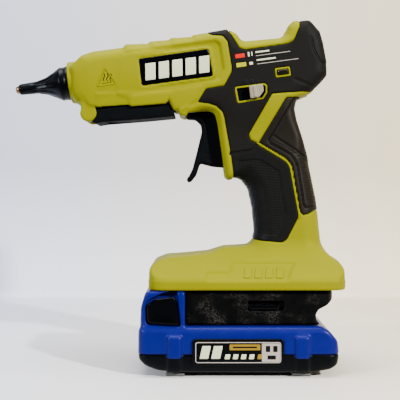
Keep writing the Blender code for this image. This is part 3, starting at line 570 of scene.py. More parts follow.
COOL = (0.8, 0.9, 1.0)
SHADES = {
    "yellow": finish(
        "yellow_plastic", (0.205, 0.199, 0.0), 0.55, grain=0.22, size=0.35, tone=0.03, shine=0.12,
        tint=(1.0, 0.95, 0.1),
    ),
    "dark": finish(
        "dark_overmould", (0.0060, 0.0054, 0.0044), 0.6, grain=0.5, size=0.3, tone=0.12, shine=0.07
    ),
    "grip": finish(
        "dark_grip", (0.0030, 0.0032, 0.0026), 0.55, grain=0.5, size=0.3, tone=0.12, shine=0.09
    ),
    # Rear grip: the dark overmould with a painted warm sheen, a brown tint and warm specular tint standing
    # in for warm light from the right.
    "grip_with_painted_warm_sheen": finish(
        "grip_with_painted_warm_sheen", (0.0062, 0.0052, 0.0038), 0.5, grain=0.5, size=0.3, tone=0.15, shine=0.14,
        tint=(1.0, 0.88, 0.75),
    ),
    "black": finish(
        "black_plastic", (0.0006, 0.0008, 0.0013), 0.32, grain=0.15, size=0.4, shine=0.12, tint=COOL
    ),
    "dusty": finish(
        "dusty_black", (0.0006, 0.0008, 0.0008), 0.4, grain=0.3, shine=0.10, dust=(0.038, 0.034, 0.029)
    ),
    "satin": finish(
        "satin_black", (0.0014, 0.0018, 0.0024), 0.85, grain=0.1, size=0.4, shine=0.08, tint=COOL
    ),
    "gloss": finish("gloss_black", (0.0006, 0.0008, 0.0013), 0.16, grain=0.05, size=0.8, shine=0.12),
    "blue": finish(
        "blue_plastic", (0.004, 0.005, 0.125), 0.36, grain=0.2, size=0.35, tone=0.05, shine=0.28,
        tint=(0.4, 0.42, 1.0),
    ),
    "grey": finish("grey_plastic", (0.24, 0.20, 0.13), 0.42, grain=0.2, shine=0.4),
    "print": finish("pale_print", (0.66, 0.68, 0.44), 0.5, grain=0.05, shine=0.2),
    "red_print": finish("red_print", (0.62, 0.002, 0.002), 0.5, grain=0.05, shine=0.1),
    "yellow_print": finish("yellow_print", (0.42, 0.40, 0.0), 0.5, grain=0.05, shine=0.05),
    "gold_print": finish("gold_print", (0.26, 0.16, 0.008), 0.45, grain=0.05, shine=0.2),
    # Dark ink for print; the same material fills the covers' grooves as painted shade and draws a painted
    # shadow line in the heat mark.
    "ink_and_painted_shade": finish("dark_ink_and_painted_shade", (0.003, 0.003, 0.003), 0.5, grain=0.05, shine=0.1),
    "nylon": finish("natural_nylon", (0.40, 0.39, 0.33), 0.5),
    "ceramic": finish("white_ceramic", (0.60, 0.59, 0.55), 0.6),
    "silicone": finish("red_silicone", (0.25, 0.02, 0.01), 0.6, shine=0.3),
    "board": finish(
        "circuit_board", (0.004, 0.05, 0.015), 0.5, second=(0.01, 0.08, 0.02), cloud=2.0, shine=0.3
    ),
    "lamp": finish("lamp_epoxy", (0.40, 0.04, 0.02), 0.2),
    "smoke": finish("smoked_lens", (0.006, 0.004, 0.002), 0.12, grain=0.03, shine=0.4),
    "red": finish("red_wire", (0.28, 0.008, 0.008), 0.5, shine=0.3),
    "cell": finish("cell_sleeve", (0.05, 0.14, 0.06), 0.4, metal=0.2),
    "rubber": finish("rubber_feet", (0.10, 0.10, 0.095), 0.5, grain=0.3, shine=0.3),
    "silver": finish("silver_label", (0.40, 0.34, 0.30), 0.4, grain=0.05, shine=0.4),
    "steel": finish("steel", (0.40, 0.40, 0.41), 0.3, metal=1.0, grain=0.15),
    "aluminium": finish("cast_aluminium", (0.50, 0.50, 0.50), 0.45, metal=1.0, grain=0.4, size=0.8),
    "brass": finish(
        "brass", (0.35, 0.20, 0.08), 0.35, metal=1.0, grain=0.2, second=(0.16, 0.06, 0.03), cloud=3.0
    ),
}


# ---------------------------------------------------------------- the shell and what is let into it


def relief(s):
    """How deep the barrel's side is sunk at each point of the side view; negative where it is proud."""
    x, z = s.x, s.z
    deep = 0.5 * within(flat(FRONT_STEP, x, z), 1.3)
    deep = deep + 0.5 * within(path(RIDGE, 0.7, x, z), 0.6)
    badge = flat(BADGE, x, z)
    hollow = 1.5 * ease(-20, 4, x) * within(flat(RECESS, x, z), 1.6)
    deep = deep + hollow * (1 - within(badge - 2.0, 0.9)) + 0.8 * within(badge - 0.2, 0.4)
    deep = deep - 0.5 * within(flat(LIP, x, z), 0.8)
    deep = deep - 0.6 * within(flat(TRIM, x, z), 1.6)
    return deep - 0.3 * within(flat(BAND, x, z), 0.8) - 0.4 * within(flat(RIM, x, z), 0.8)


def body_skin(s):
    """The outside of the barrel and handle."""
    upper = ease(146, 176, s.z)
    taper = 2.6 * np.clip(s.v / 20, -0.7, 1.2) ** 2 * ease(34, 0, s.x) * ease(150, 165, s.z)
    half = GRIP_HALF + (BODY_HALF - GRIP_HALF) * upper - taper
    round_handle = 7.0 * ease(36, 47, s.x) * ease(150, 128, s.z)
    sharp_underside = 6.0 * ease(183, 175, s.z) * ease(16, 8, s.x) * ease(-60, -54, s.x)
    edge = 5.0 + 3.5 * upper + round_handle - sharp_underside
    barrel = prism(flat(BODY, s.x, s.z), s.y, half, edge)
    barrel = meet(barrel, flat(NOSE_PLAN, s.x, s.y), 4.0)
    side = np.abs(s.y)
    skirt = meet(flat(SKIRT, s.x, s.z), np.maximum(side - half, SKIRT_INSIDE - side), 0.6)
    return melt(barrel, skirt, 0.4)


def foot_skin(s):
    """The outside of the broad foot over the battery: an upright rim under sloping flanks."""
    side = np.abs(s.y)
    block_shape = prism(flat(FOOT_SIDE, s.x, s.z), s.y, FOOT_HALF, 1.6)
    foot = meet(block_shape, flat(FOOT_PLAN, s.x, s.y), 2.0)
    slope = (side - FOOT_HALF) * 0.62 + (s.z - RIM_Z) * 0.78
    foot = meet(foot, slope, 1.5)
    above = 0.35 * ease(RIM_Z - 1.0, RIM_Z - 0.2, s.z)
    plate = 1.1 * within(flat(FOOT_RECESS, s.x, s.z), 0.9) * ease(20, 26, side)
    return meet(foot + above + plate, FLOOR_OF_FOOT - s.z, 1.0)


def outside(s):
    """The outside of the whole housing before anything is let in."""
    return melt(body_skin(s), foot_skin(s), 7.0)


def dark_area(s):
    return np.minimum.reduce([flat(area, s.x, s.z) for area in DARK_AREAS])


def trigger_sweep(s):
    """The space the trigger passes through as it is pulled."""
    found = []
    for turn in np.radians(TRIGGER_TURNS):
        across, up = s.x - PIVOT[0], s.z - PIVOT[2]
        x = PIVOT[0] + math.cos(turn) * across + math.sin(turn) * up
        z = PIVOT[2] - math.sin(turn) * across + math.cos(turn) * up
        found.append(flat(TRIGGER, x, z) - TRIGGER_CLEARANCE)
    return np.maximum(np.minimum.reduce(found), np.abs(s.y) - SLOT_HALF)


def openings(s):
    """The spaces through the housing's walls and the room for what moves inside."""
    side = np.abs(s.y)
    round_axis = np.hypot(s.y, s.v)
    nozzle = np.maximum(round_axis - 11.0, s.u - 48)
    stick = np.maximum(round_axis - 7.2, 120 - s.u)
    bay = np.maximum(np.maximum(side - SLOT_HALF, 144 - s.u), np.maximum(s.u - 180, -s.v))
    carriage = block(s.u, s.y, s.v, (98, -13, -26), (143, 13, 10), 2.0)
    below_trough = block(s.u, s.y, s.v, (138, -13, -26), (186, 13, 2), 2.0)
    trough = block(s.u, s.y, s.v, (138, -10, 0), (186, 10, 7.8), 1.0)
    slot = block(s.x, s.y, s.z, (14, -SLOT_HALF, 118), (35.2, SLOT_HALF, 180), 1.0)
    lug = block(s.x, s.y, s.z, (22, -SLOT_HALF, 140), (40, SLOT_HALF, 178), 1.0)
    stem = block(s.x, s.y, s.z, (53.5, -12, 40), (84.5, 12, 107), 1.0)
    under = block(s.x, s.y, s.z, (-11, -32, 40), (97, 32, 56), 3.0)
    inside = (nozzle, stick, bay, carriage, below_trough, trough, slot, lug, stem, under, trigger_sweep(s))
    return np.minimum.reduce(np.broadcast_arrays(*inside))


def tray_ears(s):
    """The two round ears that carry the drip tray's pin."""
    disc = np.hypot(s.x - HINGE[0] - 1.6, s.z - HINGE[2] + 0.9) - 5.3
    low, high = (HINGE[0] - 3.2, -1, HINGE[2]), (HINGE[0] + 6.1, 1, HINGE[2] + 9)
    web = block(s.x, 0 * s.y, s.z, low, high, 0.5)
    return prism(np.minimum(disc, web), np.abs(s.y) - 12.8, 2.8, 0.9)


def build_housing():
    """Both shell halves: hollowed for the covers and for what is inside, and parted at the centre plane."""
    for name, side in SIDES:
        near, far = (0, 40) if side > 0 else (-40, 0)
        s = Space((-73.0, near, 51.0), (107.0, far, 227.0), 0.85)
        skin = outside(s)
        shell = skin + relief(s) * ease(5, 12, np.abs(s.y))
        shell = carve(shell, np.maximum(dark_area(s), -(skin + LET_IN)), 0.3)
        ring = np.hypot(s.y, s.v)
        lip = np.maximum(ring - 13.4, np.maximum(s.u - 40, 35.2 - s.u))
        shell = melt(shell, lip, 0.8)
        shell = melt(shell, tray_ears(s), 1.2)
        shell = carve(shell, openings(s), 0.8)
        shell = carve(shell, np.maximum(ring - 8.4, 158 - s.u), 0.3)
        if side > 0:
            shell = carve(shell, screw_sinks(s), 0.4)
        else:
            shell = carve(shell, np.maximum(switch_area(s), s.y + 15.6), 0.3)
            shell = carve(shell, np.maximum(lens_area(s), s.y + 16.8), 0.3)
        away = SEAM_INSIDE + (SEAM - SEAM_INSIDE) * ease(-1.2, -0.3, skin)
        shell = meet(shell, away - side * s.y, 0.5)
        piece(f"housing_{name}_shell", shell, s, "yellow", "housing", [f"housing_{name}"])


def along_barrel(node):
    """A CAD node's extent along and above the barrel axis, in millimetres."""
    points = np.array([v.co for v in frame["nodes"][node].data.vertices]) / MM - TIP
    along, up = ALONG[0], ALONG[2]
    u = points[:, 0] * along + points[:, 2] * up
    v = points[:, 2] * along - points[:, 0] * up
    return (u.min(), u.max()), (v.min(), v.max())


def screw_sinks(s):
    """The round holes over the heads of the four housing screws."""
    holes = []
    for k in range(4):
        low, high = box(f"housing_screw_{k + 1}")
        x, z = (low[0] + high[0]) / 2, (low[2] + high[2]) / 2
        holes.append(np.maximum(np.hypot(s.x - x, s.z - z) - 3.4, high[1] - 2.6 - s.y))
    return np.minimum.reduce(holes)


def build_covers():
    """The soft covers let into both sides, each with its own grooves and studs."""
    plates = (
        ("body_cover", COVER, cover_detail, (10.0, 0, 135.0), (98.0, 21, 226.0), 0.6, "dark"),
        ("front_grip", FRONT_GRIP, grip_detail, (34.0, 0, 79.0), (79.0, 19, 147.0), 0.42, "grip"),
        # the rear grip's material carries a painted warm sheen
        ("rear_grip", REAR_GRIP, rear_detail, (50.0, 0, 97.0), (96.0, 20, 176.0), 0.5, "grip_with_painted_warm_sheen"),
    )
    for base, area, detail, low, high, step, shade in plates:
        for name, side in SIDES:
            low_y, high_y = (0, high[1]) if side > 0 else (-high[1], 0)
            s = Space((low[0], low_y, low[2]), (high[0], high_y, high[2]), step)
            skin = outside(s) + detail(s)
            cover = meet(skin, flat(area, s.x, s.z) + GAP, 0.7)
            if base == "body_cover" and side < 0:
                cover = carve(cover, np.minimum(switch_area(s), lens_area(s)) - GAP, 0.3)
            if side > 0:
                cover = carve(cover, screw_sinks(s), 0.4)
            cover = carve(cover, openings(s) - 0.2, 0.5)
            cover = np.maximum(cover, -(skin + LET_IN - 0.15))
            cover = meet(cover, SEAM - side * s.y, 0.4)
            piece(f"{base}_{name}_soft", cover, s, shade, "housing", [f"{base}_{name}"])


def switch_area(s):
    return flat(SWITCH, s.x, s.z)


def lens_area(s):
    return flat(LENS, s.x, s.z)


def cover_detail(s):
    """A groove at the rear corner and a soft crease above the handle."""
    groove = 0.9 * within(path(REAR_RIDGE, 0.55, s.x, s.z), 0.4)
    return groove + 0.35 * within(path(COVER_CREASE, 1.6, s.x, s.z), 1.6)


def grip_detail(s):
    """The sunk field of fine studs round the front of the handle."""
    field = flat(TEXTURE, s.x, s.z)
    rows = 0.5 + 0.5 * np.cos(2 * math.pi * (s.z + 0.09 * s.x) / RIB_PITCH)
    columns = 0.5 + 0.5 * np.cos(2 * math.pi * (s.x - 0.09 * s.z) / RIB_PITCH)
    return within(field, 0.6) * (0.15 + 0.16 * rows + 0.16 * columns)


def rear_detail(s):
    """Grooves round the rear pad, its crease, and fine ribs below that."""
    lines = np.minimum(path(REAR_LINE, 0.5, s.x, s.z), path(REAR_CREASE, 0.45, s.x, s.z))
    pad = flat(REAR_PAD, s.x, s.z)
    wave = 0.5 + 0.5 * np.cos(2 * math.pi * (s.z + 0.05 * s.x) / RIB_PITCH)
    return 1.0 * within(lines, 0.35) + within(pad, 0.8) * 0.4 * wave


def decal(
    name, shape, low, high, shade, slot, proud=0.2, step=0.3, sides=SIDES, node=None, base=outside, deep=0.5
):
    """A thin piece that follows the housing's side, in the given side-view shape."""
    for side_name, side in sides:
        near, far = (low[1], high[1]) if side > 0 else (-high[1], -low[1])
        s = Space((low[0], near, low[2]), (high[0], far, high[2]), step)
        skin = base(s)
        plate = meet(skin - proud, shape(s), 0.25)
        plate = np.maximum(plate, -(skin + deep))
        replaced = [f"{node}_{side_name}"] if node else []
        piece(f"{name}_{side_name}", plate, s, shade, "housing", replaced)


def bars(along, above, rows, lean=0.0):
    """Distance from slanted blocks, each given as (start, end, bottom, top)."""
    found = []
    for start, end, bottom, top in rows:
        across = along - lean * (above - bottom)
        wide = np.abs(across - (start + end) / 2) - (end - start) / 2
        found.append(np.maximum(wide, np.abs(above - (bottom + top) / 2) - (top - bottom) / 2))
    return np.minimum.reduce(found)


def blocks(rows, lean=0.0):
    """The shape of plain blocks set along the barrel axis."""
    return lambda s: bars(s.u, s.v, rows, lean)


def line(points, half):
    """The shape of a line of the given half width in the side view."""
    return lambda s: path(points, half, s.x, s.z)


def ring(corners, inset, half):
    """The shape of a frame that runs inside an outline."""
    return lambda s: np.abs(flat(corners, s.x, s.z) + inset) - half


def sunk(s):
    """The housing's side with its relief."""
    return outside(s) + relief(s)


def badge_seat(s):
    return outside(s) + 0.25


def badge(s):
    return flat(BADGE, s.x, s.z) + 0.15


def rear_lines(s):
    return np.minimum(path(REAR_LINE, 0.36, s.x, s.z), path(REAR_CREASE, 0.32, s.x, s.z))


def waves_and_painted_shadow(s):
    """Three wavy strokes, and a painted shadow line along the foot of the raised triangle."""
    found = []
    for k in range(3):
        x = -45.6 + 2.1 * k
        found.append(path(((x, 182.7), (x - 0.6, 184.2), (x + 0.5, 185.9), (x, 187.4)), 0.36, s.x, s.z))
    # Painted shadow: a dark line along the triangle's bottom edge.
    found.append(stroke((-47.0, 181.2), (-40.8, 182.0), 0.25, s.x, s.z))
    return np.minimum.reduce(found)


def foot_marks(s):
    """A row of plain slanted blocks on the foot."""
    found = []
    for k in range(4):
        x = 44.0 + 6.6 * k + 0.2 * (s.z - 63)
        found.append(np.maximum(np.abs(s.x - x) - 2.3, np.abs(s.z - 63.4) - 2.9))
    return np.minimum.reduce(found)


def build_side_details():
    """What lies on the housing's sides: frames, piping, dark lines (painted groove shade and a dark joint),
    the badge and the legend.
    """
    build_frames_and_piping()
    build_dark_lines()
    build_switch_marks()
    build_badge()
    build_legend()
    decal("foot_marks", foot_marks, (34, 25, 58), (72, 38.5, 70), "yellow", "yellow", 0.5, 0.35)


def build_frames_and_piping():
    """The yellow edges that the shell shows round the pads, the switch, the lamp and the heat mark."""
    look = ("yellow", "yellow")
    decal("grip_piping", line(PIPING_LINE, 0.52), (48, 12, 94), (80, 17.6, 147), *look, 0.3, 0.22)
    switch_ring, lens_ring = ring(SWITCH, 0.4, 0.56), ring(LENS, 0.4, 0.56)
    decal("switch_frame", switch_ring, (34, 17, 167), (59, 20.5, 183), *look, 0.35, 0.22, LEFT)
    decal("lens_frame", lens_ring, (60, 17, 183), (74, 20.5, 193), *look, 0.35, 0.22, LEFT)
    edge = ring(TRIANGLE, 0.4, 0.32)
    decal("heat_mark_frame", edge, (-52, 14, 177), (-35, 21.5, 194), *look, 0.5, 0.3, base=sunk)
    # The heat mark's waves, with a painted shadow line under them.
    decal("heat_mark_waves_and_painted_shadow", waves_and_painted_shadow, (-48, 14, 178), (-38, 21.5, 190), "ink_and_painted_shade", "dark", 0.1, 0.25, base=sunk)


def build_dark_lines():
    """Black fill laid in the grooves of the soft covers as painted shade, and along the joint between two
    covers.
    """
    # Painted groove shade along the rear grip's lines and the cover's rear groove; the cover seam is a dark
    # joint.
    lines = (
        ("cover_seam", line(COVER_SEAM, 0.55), (32, 8, 135), (53, 21, 147), 1.5),
        ("rear_grip_lines", rear_lines, (54, 6, 100), (95, 20, 177), 1.3),
        ("cover_lines", line(REAR_RIDGE, 0.45), (82, 6, 190), (99, 21, 212), 1.3),
    )
    for name, shape, low, high, deep in lines:
        decal(name, shape, low, high, "ink_and_painted_shade", "black", -0.12, 0.3, deep=deep)


def build_switch_marks():
    low, high = (36, 14, 179), (54, 21.5, 187)
    decal("switch_marks", blocks(SWITCH_MARKS), low, high, "ink_and_painted_shade", "black", 0.12, 0.25, LEFT)


def build_badge():
    """The barrel's plate, with plain stripes where a name would be."""
    low, high = (-27, 14, 177), (26, 21.5, 206)
    decal("badge_plate", badge, low, high, "gloss", "black", 0.0, 0.45, node="badge", base=badge_seat)
    low, high = (-24, 14, 178), (24, 21.5, 204)
    stripes = blocks(BADGE_STRIPES, 0.12)
    decal("badge_stripes", stripes, low, high, "print", "grey", 0.12, 0.3, base=badge_seat)


def build_legend():
    """Plain blocks in place of the words beside the switch."""
    marks = (
        ("legend_red", LEGEND_RED, (34, 14, 194), (46, 21.5, 203), "red_print", "red", 0.3),
        ("legend_yellow", LEGEND_YELLOW, (34, 14, 188), (46, 21.5, 197), "yellow_print", "yellow", 0.3),
        ("legend_words", LEGEND_WORDS, (44, 17, 188), (72, 20.5, 206), "print", "grey", 0.25),
        ("legend_lines", LEGEND_LINES, (50, 17, 190), (82, 20.5, 206), "silver", "grey", 0.22),
    )
    for name, rows, low, high, shade, slot, step in marks:
        decal(name, blocks(rows), low, high, shade, slot, 0.1, step, LEFT)


# ---------------------------------------------------------------- nozzle, tray, trigger and switch


def build_nozzle_sleeve():
    """The fluted black sleeve over the nozzle."""
    low, high = box("nozzle_sleeve")
    s = Space((low[0] - 1, -12, low[2] - 1), (high[0] + 1, 12, high[2] + 1), 0.45)
    out = np.hypot(s.y, s.v)
    turn = np.arctan2(s.v, s.y + 0 * s.v)
    radius = np.interp(s.u, *zip(*SLEEVE_PROFILE))
    flutes = 0.4 * (0.5 + 0.5 * np.cos(10 * turn)) * ease(9, 13, s.u) * ease(28, 24, s.u)
    collar = 0.35 * ease(30.2, 30.8, s.u) * ease(33.4, 32.8, s.u)
    body = (out - radius + flutes + collar) * 0.9
    body = meet(body, np.maximum(1.8 - s.u, s.u - 41), 0.5)
    bore = (out - np.interp(s.u, *zip(*SLEEVE_BORE))) * 0.9
    piece("nozzle_sleeve_moulded", carve(body, bore, 0.3), s, "black", "housing", ["nozzle_sleeve"])


def build_nozzle_tip():
    low, high = box("nozzle_tip")
    s = Space((low[0] - 1, -8, low[2] - 1), (high[0] + 1, 8, high[2] + 1), 0.35)
    out = np.hypot(s.y, s.v)
    radius = np.interp(s.u, *zip(*TIP_PROFILE))
    tip = meet((out - radius) * 0.9, np.maximum(-s.u, s.u - 44), 0.3)
    bore = out - np.interp(s.u, *zip(*TIP_BORE))
    piece("nozzle_tip_turned", carve(tip, bore * 0.9, 0.2), s, "brass", "housing", ["nozzle_tip"])


def build_trigger():
    low, high = box("trigger")
    s = Space(low - 2, high + 2, 0.5)
    shape = flat(TRIGGER, s.x, s.z)
    edge = 1.0 + 1.6 * ease(166, 160, s.z)
    body = prism(shape, s.y, 6.6, edge)
    field = flat(TRIGGER_SIDE, s.x, s.z)
    wave = 0.5 + 0.5 * np.cos(2 * math.pi * (s.z - 0.15 * s.x) / 3.2)
    body = body + within(field, 0.8) * (0.3 + 0.35 * wave) * ease(4, 5.5, np.abs(s.y))
    pin = np.hypot(s.x - PIVOT[0], s.z - PIVOT[2]) - PIN_RADIUS
    piece("trigger_moulded", carve(body, pin, 0.3), s, "satin", "trigger", ["trigger"])


def build_tray():
    low, high = box("drip_tray")
    s = Space(low - 2, high + 2, 0.5)
    shape = flat(TRAY, s.x, s.z)
    body = prism(shape, s.y, 15.0, 1.6)
    arm = block(s.x, s.y, s.z, (HINGE[0], -9.4, HINGE[2] - 5.2), (-47, 9.4, HINGE[2] + 2.6), 1.0)
    barrel = prism(np.hypot(s.x - HINGE[0], s.z - HINGE[2]) - 4.2, s.y, 9.4, 0.6)
    body = melt(np.minimum(body, barrel), arm, 1.5)
    dish = block(s.x, s.y, s.z, (-46, -11, 150), (-12, 11, 158.8), 1.5)
    seam = np.abs(s.z - 163.4 - 0.1 * (s.x + 50)) - 0.3
    ledge = np.maximum(seam, 14.5 - np.abs(s.y))
    notch = np.minimum(
        block(s.x, np.abs(s.y), s.z, (-43, 14.1, 153), (-31, 20, 159.2), 0.3),
        block(s.x, np.abs(s.y), s.z, (-22, 14.1, 153), (-4, 20, 160.6), 0.3),
    )
    pin = np.hypot(s.x - HINGE[0], s.z - HINGE[2]) - PIN_RADIUS
    cut = np.minimum.reduce(np.broadcast_arrays(dish, ledge, notch, pin))
    piece("drip_tray_moulded", carve(body, cut, 0.4), s, "satin", "drip_tray", ["drip_tray"])


def build_switch():
    """The knob, its finger rib and the stem that reaches in to the switch."""
    (u0, _), (v0, _) = along_barrel("power_slider")
    low, high = box("power_slider")
    s = Space(low - (4.5, 1.5, 4), high + 1.5, 0.3)
    a0, a1, b0, b1 = KNOB
    knob = block(s.u, s.y, s.v, (a0, low[1], b0), (a1, -19.2, b1), 0.8)
    rib = block(s.u, s.y, s.v, (a0 + 2.4, low[1] - 0.6, b0 + 0.5), (a0 + 3.6, -20.0, b1 - 0.5), 0.4)
    knob = melt(meet(knob, (s.u - a1 + 2.0) * 0.7 - (s.v - b0 - 1.6) * 0.7, 0.5), rib, 0.4)
    for k in range(3):
        groove = block(s.u, s.y, s.v, (a0 + 4.6 + k, -40, -40), (a0 + 4.9 + k, low[1] + 0.4, 0), 0.1)
        knob = carve(knob, groove, 0.2)
    stem = block(s.u, s.y, s.v, (u0 + 3.6, -20, v0 + 2.7), (u0 + 6.6, high[1], v0 + 5.1), 0.2)
    piece("power_slider_moulded", np.minimum(knob, stem), s, "grey", "power_slider", ["power_slider"])


def build_switch_surround():
    """The lamp window, and the dark floors of its recess and the knob's."""
    s = Space((59, -21, 182), (74, -16.8, 194), 0.3)
    lens = prism(lens_area(s) + 1.4, s.y + 18.6, 1.6, 0.6)
    piece("led_lens_moulded", lens, s, "smoke", "housing", ["led_lens"])
    s = Space((33, -17, 165), (60, -15, 185), 0.35)
    floor = np.maximum(switch_area(s), np.abs(s.y + 16.0) - 0.4)
    piece("switch_floor", floor, s, "black", "housing")
    s = Space((59, -18.2, 182), (74, -16, 194), 0.4)
    floor = np.maximum(lens_area(s), np.abs(s.y + 17.4) - 0.4)
    piece("lens_floor", floor, s, "black", "housing")


# ---------------------------------------------------------------- adapter and battery


def build_adapter():
    low, high = box("adapter_body")
    s = Space((low[0] - 1, low[1], low[2]), (high[0] + 3, high[1], 107), 0.9)
    front, back = NOSE_BACK + 0.1, high[0] + 2.6
    plan = flat(((front, -32, 1), (back, -32, 9), (back, 32, 9), (front, 32, 1)), s.x, s.y)
    body = meet(prism(flat(ADAPTER, s.x, s.z), s.y, 32.0, 1.2), plan, 0.5)
    body = melt(body, block(s.x, s.y, s.z, (55, -11, 45), (83, 11, 105), 2.0), 2.0)
    side = np.abs(s.y)
    lines = [path(((front, z), (back + 5, z)), 0.3, s.x, s.z) for z in (35.0, 38.4, 46.4)]
    curve = path(LATCH_HOLLOW, 0.6, s.x, s.z)
    body = body + 0.4 * within(np.minimum.reduce(lines + [curve]), 0.4) * ease(30, 31, side)
    neck = block(s.x, s.y, s.z, (-9, -17.4, 20), (84, 17.4, 38), 0.3)
    head = block(s.x, s.y, s.z, (-9, -22.4, 35.4), (84, 22.4, 41.4), 0.3)
    pocket = block(s.x, side, s.z, (44.1, 28.0, 40.3), (66.1, 60, 46.1), 0.8)
    contact = block(s.x, side, s.z, (61.5, 9.8, 86.5), (76.5, 20, 102.5), 0.3)
    body = carve(body, np.minimum.reduce(np.broadcast_arrays(neck, head, pocket, contact)), 0.3)
    piece("adapter_moulded", body, s, "dusty", "adapter", ["adapter_body"])
    for name, sign in SIDES:
        button(f"adapter_latch_{name}", sign, LATCH, 1.2)


def button(node, sign, outline, edge, crown=0.0):
    """A press button with a rounded face on one side of the tool."""
    low, high = box(node)
    s = Space(low - 1.5, high + 1.5, 0.4)
    face = flat(outline, s.x, s.z)
    centre = (low[1] + high[1]) / 2
    half = (high[1] - low[1]) / 2
    dome = crown * np.clip(1 + face / 7.0, 0, 1) ** 2
    body = prism(face, s.y - centre, half, edge) + dome * ease(0, 1, sign * (s.y - centre))
    piece(f"{node}_moulded", body, s, "gloss", node, [node])


def case_plan(s, grow=0.0):
    """The battery seen from above, let out by the given amount."""
    low, high = box("battery_upper_case")
    x0, x1, half = low[0] - grow - 1.0, high[0] + grow + 1.6, high[1] + grow
    return flat(((x0, -half, 8), (x1, -half, 9), (x1, half, 9), (x0, half, 8)), s.x, s.y)


def case_ribs(s, low_z, high_z, proud):
    """Two rounded pillars on each long side of the battery."""
    half = box("battery_upper_case")[1][1]
    found = [
        block(s.x, np.abs(s.y), s.z, (x - 4.8, half - 6, low_z), (x + 4.8, half + proud, high_z), 2.4)
        for x in (middle("battery_foot_front")[0] - 0.4, middle("battery_foot_rear")[0])
    ]
    return np.minimum(*found)


def build_upper_case():
    """The blue case with its raised front, its sloping shoulders and the rail for the adapter."""
    low, high = box("battery_upper_case")
    half = high[1]
    s = Space((low[0] - 2, -half - 3, 10), (high[0] + 2, half + 3, high[2] + 1), 0.9)
    side = np.abs(s.y)
    main = meet(prism(flat(BATTERY, s.x, s.z), s.y, half, 3.0), case_plan(s), 1.5)
    main = meet(main, (side - half) * 0.75 + (s.z - 28.0) * 0.66, 1.0)
    main = np.maximum(main, low[2] - s.z)
    nose_low = low[0] + 0.2
    nose_corners = (
        (nose_low, -36.4, 7), (NOSE_BACK, -36.4, 0.6), (NOSE_BACK, 36.4, 0.6), (nose_low, 36.4, 7),
    )
    nose_plan = flat(nose_corners, s.x, s.y)
    nose = meet(prism(flat(NOSE, s.x, s.z), s.y, 36.6, 2.0), nose_plan, 1.5)
    case = melt(main, nose, 1.2)
    slope = (s.z - 24.6) * 0.7 + (side - half - 1.7) * 0.6
    sloped = meet(case_ribs(s, 11.0, 27.0, 1.7), slope, 0.5)
    case = melt(case, sloped, 0.7)
    rail_foot = block(s.x, s.y, s.z, (10, -17, 22), (80, 17, 38), 0.4)
    rail_head = block(s.x, s.y, s.z, (10, -22, 35.8), (80, 22, 41), 0.4)
    case = np.minimum(case, np.minimum(rail_foot, rail_head))
    pocket = np.maximum(flat(POCKET, s.x, s.z), 30.0 - side)
    slots = block(s.x, side, s.z, (56, 6.9, 32.6), (90, 9.1, 60), 0.2)
    case = carve(case, np.minimum(pocket, slots), 0.8)
    piece("battery_upper_moulded", case, s, "blue", "battery", ["battery_upper_case"])


def build_lower_case():
    """The black case under the blue one."""
    low, high = box("battery_upper_case")
    half = high[1]
    s = Space((low[0] - 2, -half - 3, 1), (high[0] + 2, half + 3, 15), 0.9)
    lower = meet(prism(flat(TRAY_CASE, s.x, s.z), s.y, half - 0.1, 4.5), case_plan(s, -0.1), 1.5)
    lower = melt(lower, case_ribs(s, 3.2, 30.0, 1.2), 0.8)
    lower = np.maximum(lower, s.z - SPLIT)
    piece("battery_lower_moulded", lower, s, "black", "battery", ["battery_lower_case"])


def build_battery_feet():
    for node in ("battery_foot_front", "battery_foot_rear"):
        low, high = box(node)
        s = Space(low - 1, high + 1.5, 0.6)
        foot = block(s.x, s.y, s.z, low, (high[0], high[1], high[2] + 1.0), 1.3)
        grooves = np.maximum(np.abs(np.abs(s.y) - 12) - 0.5, 0.6 - s.z + 0 * s.x)
        foot = np.maximum(carve(foot, grooves, 0.2), low[2] - s.z)
        piece(f"{node}_moulded", foot, s, "rubber", "battery", [node])


def build_battery():
    build_upper_case()
    build_lower_case()
    for name, sign in SIDES:
        button(f"battery_release_{name}", sign, RELEASE, 1.4, crown=-0.5)
        build_label(name, sign)
    build_battery_feet()


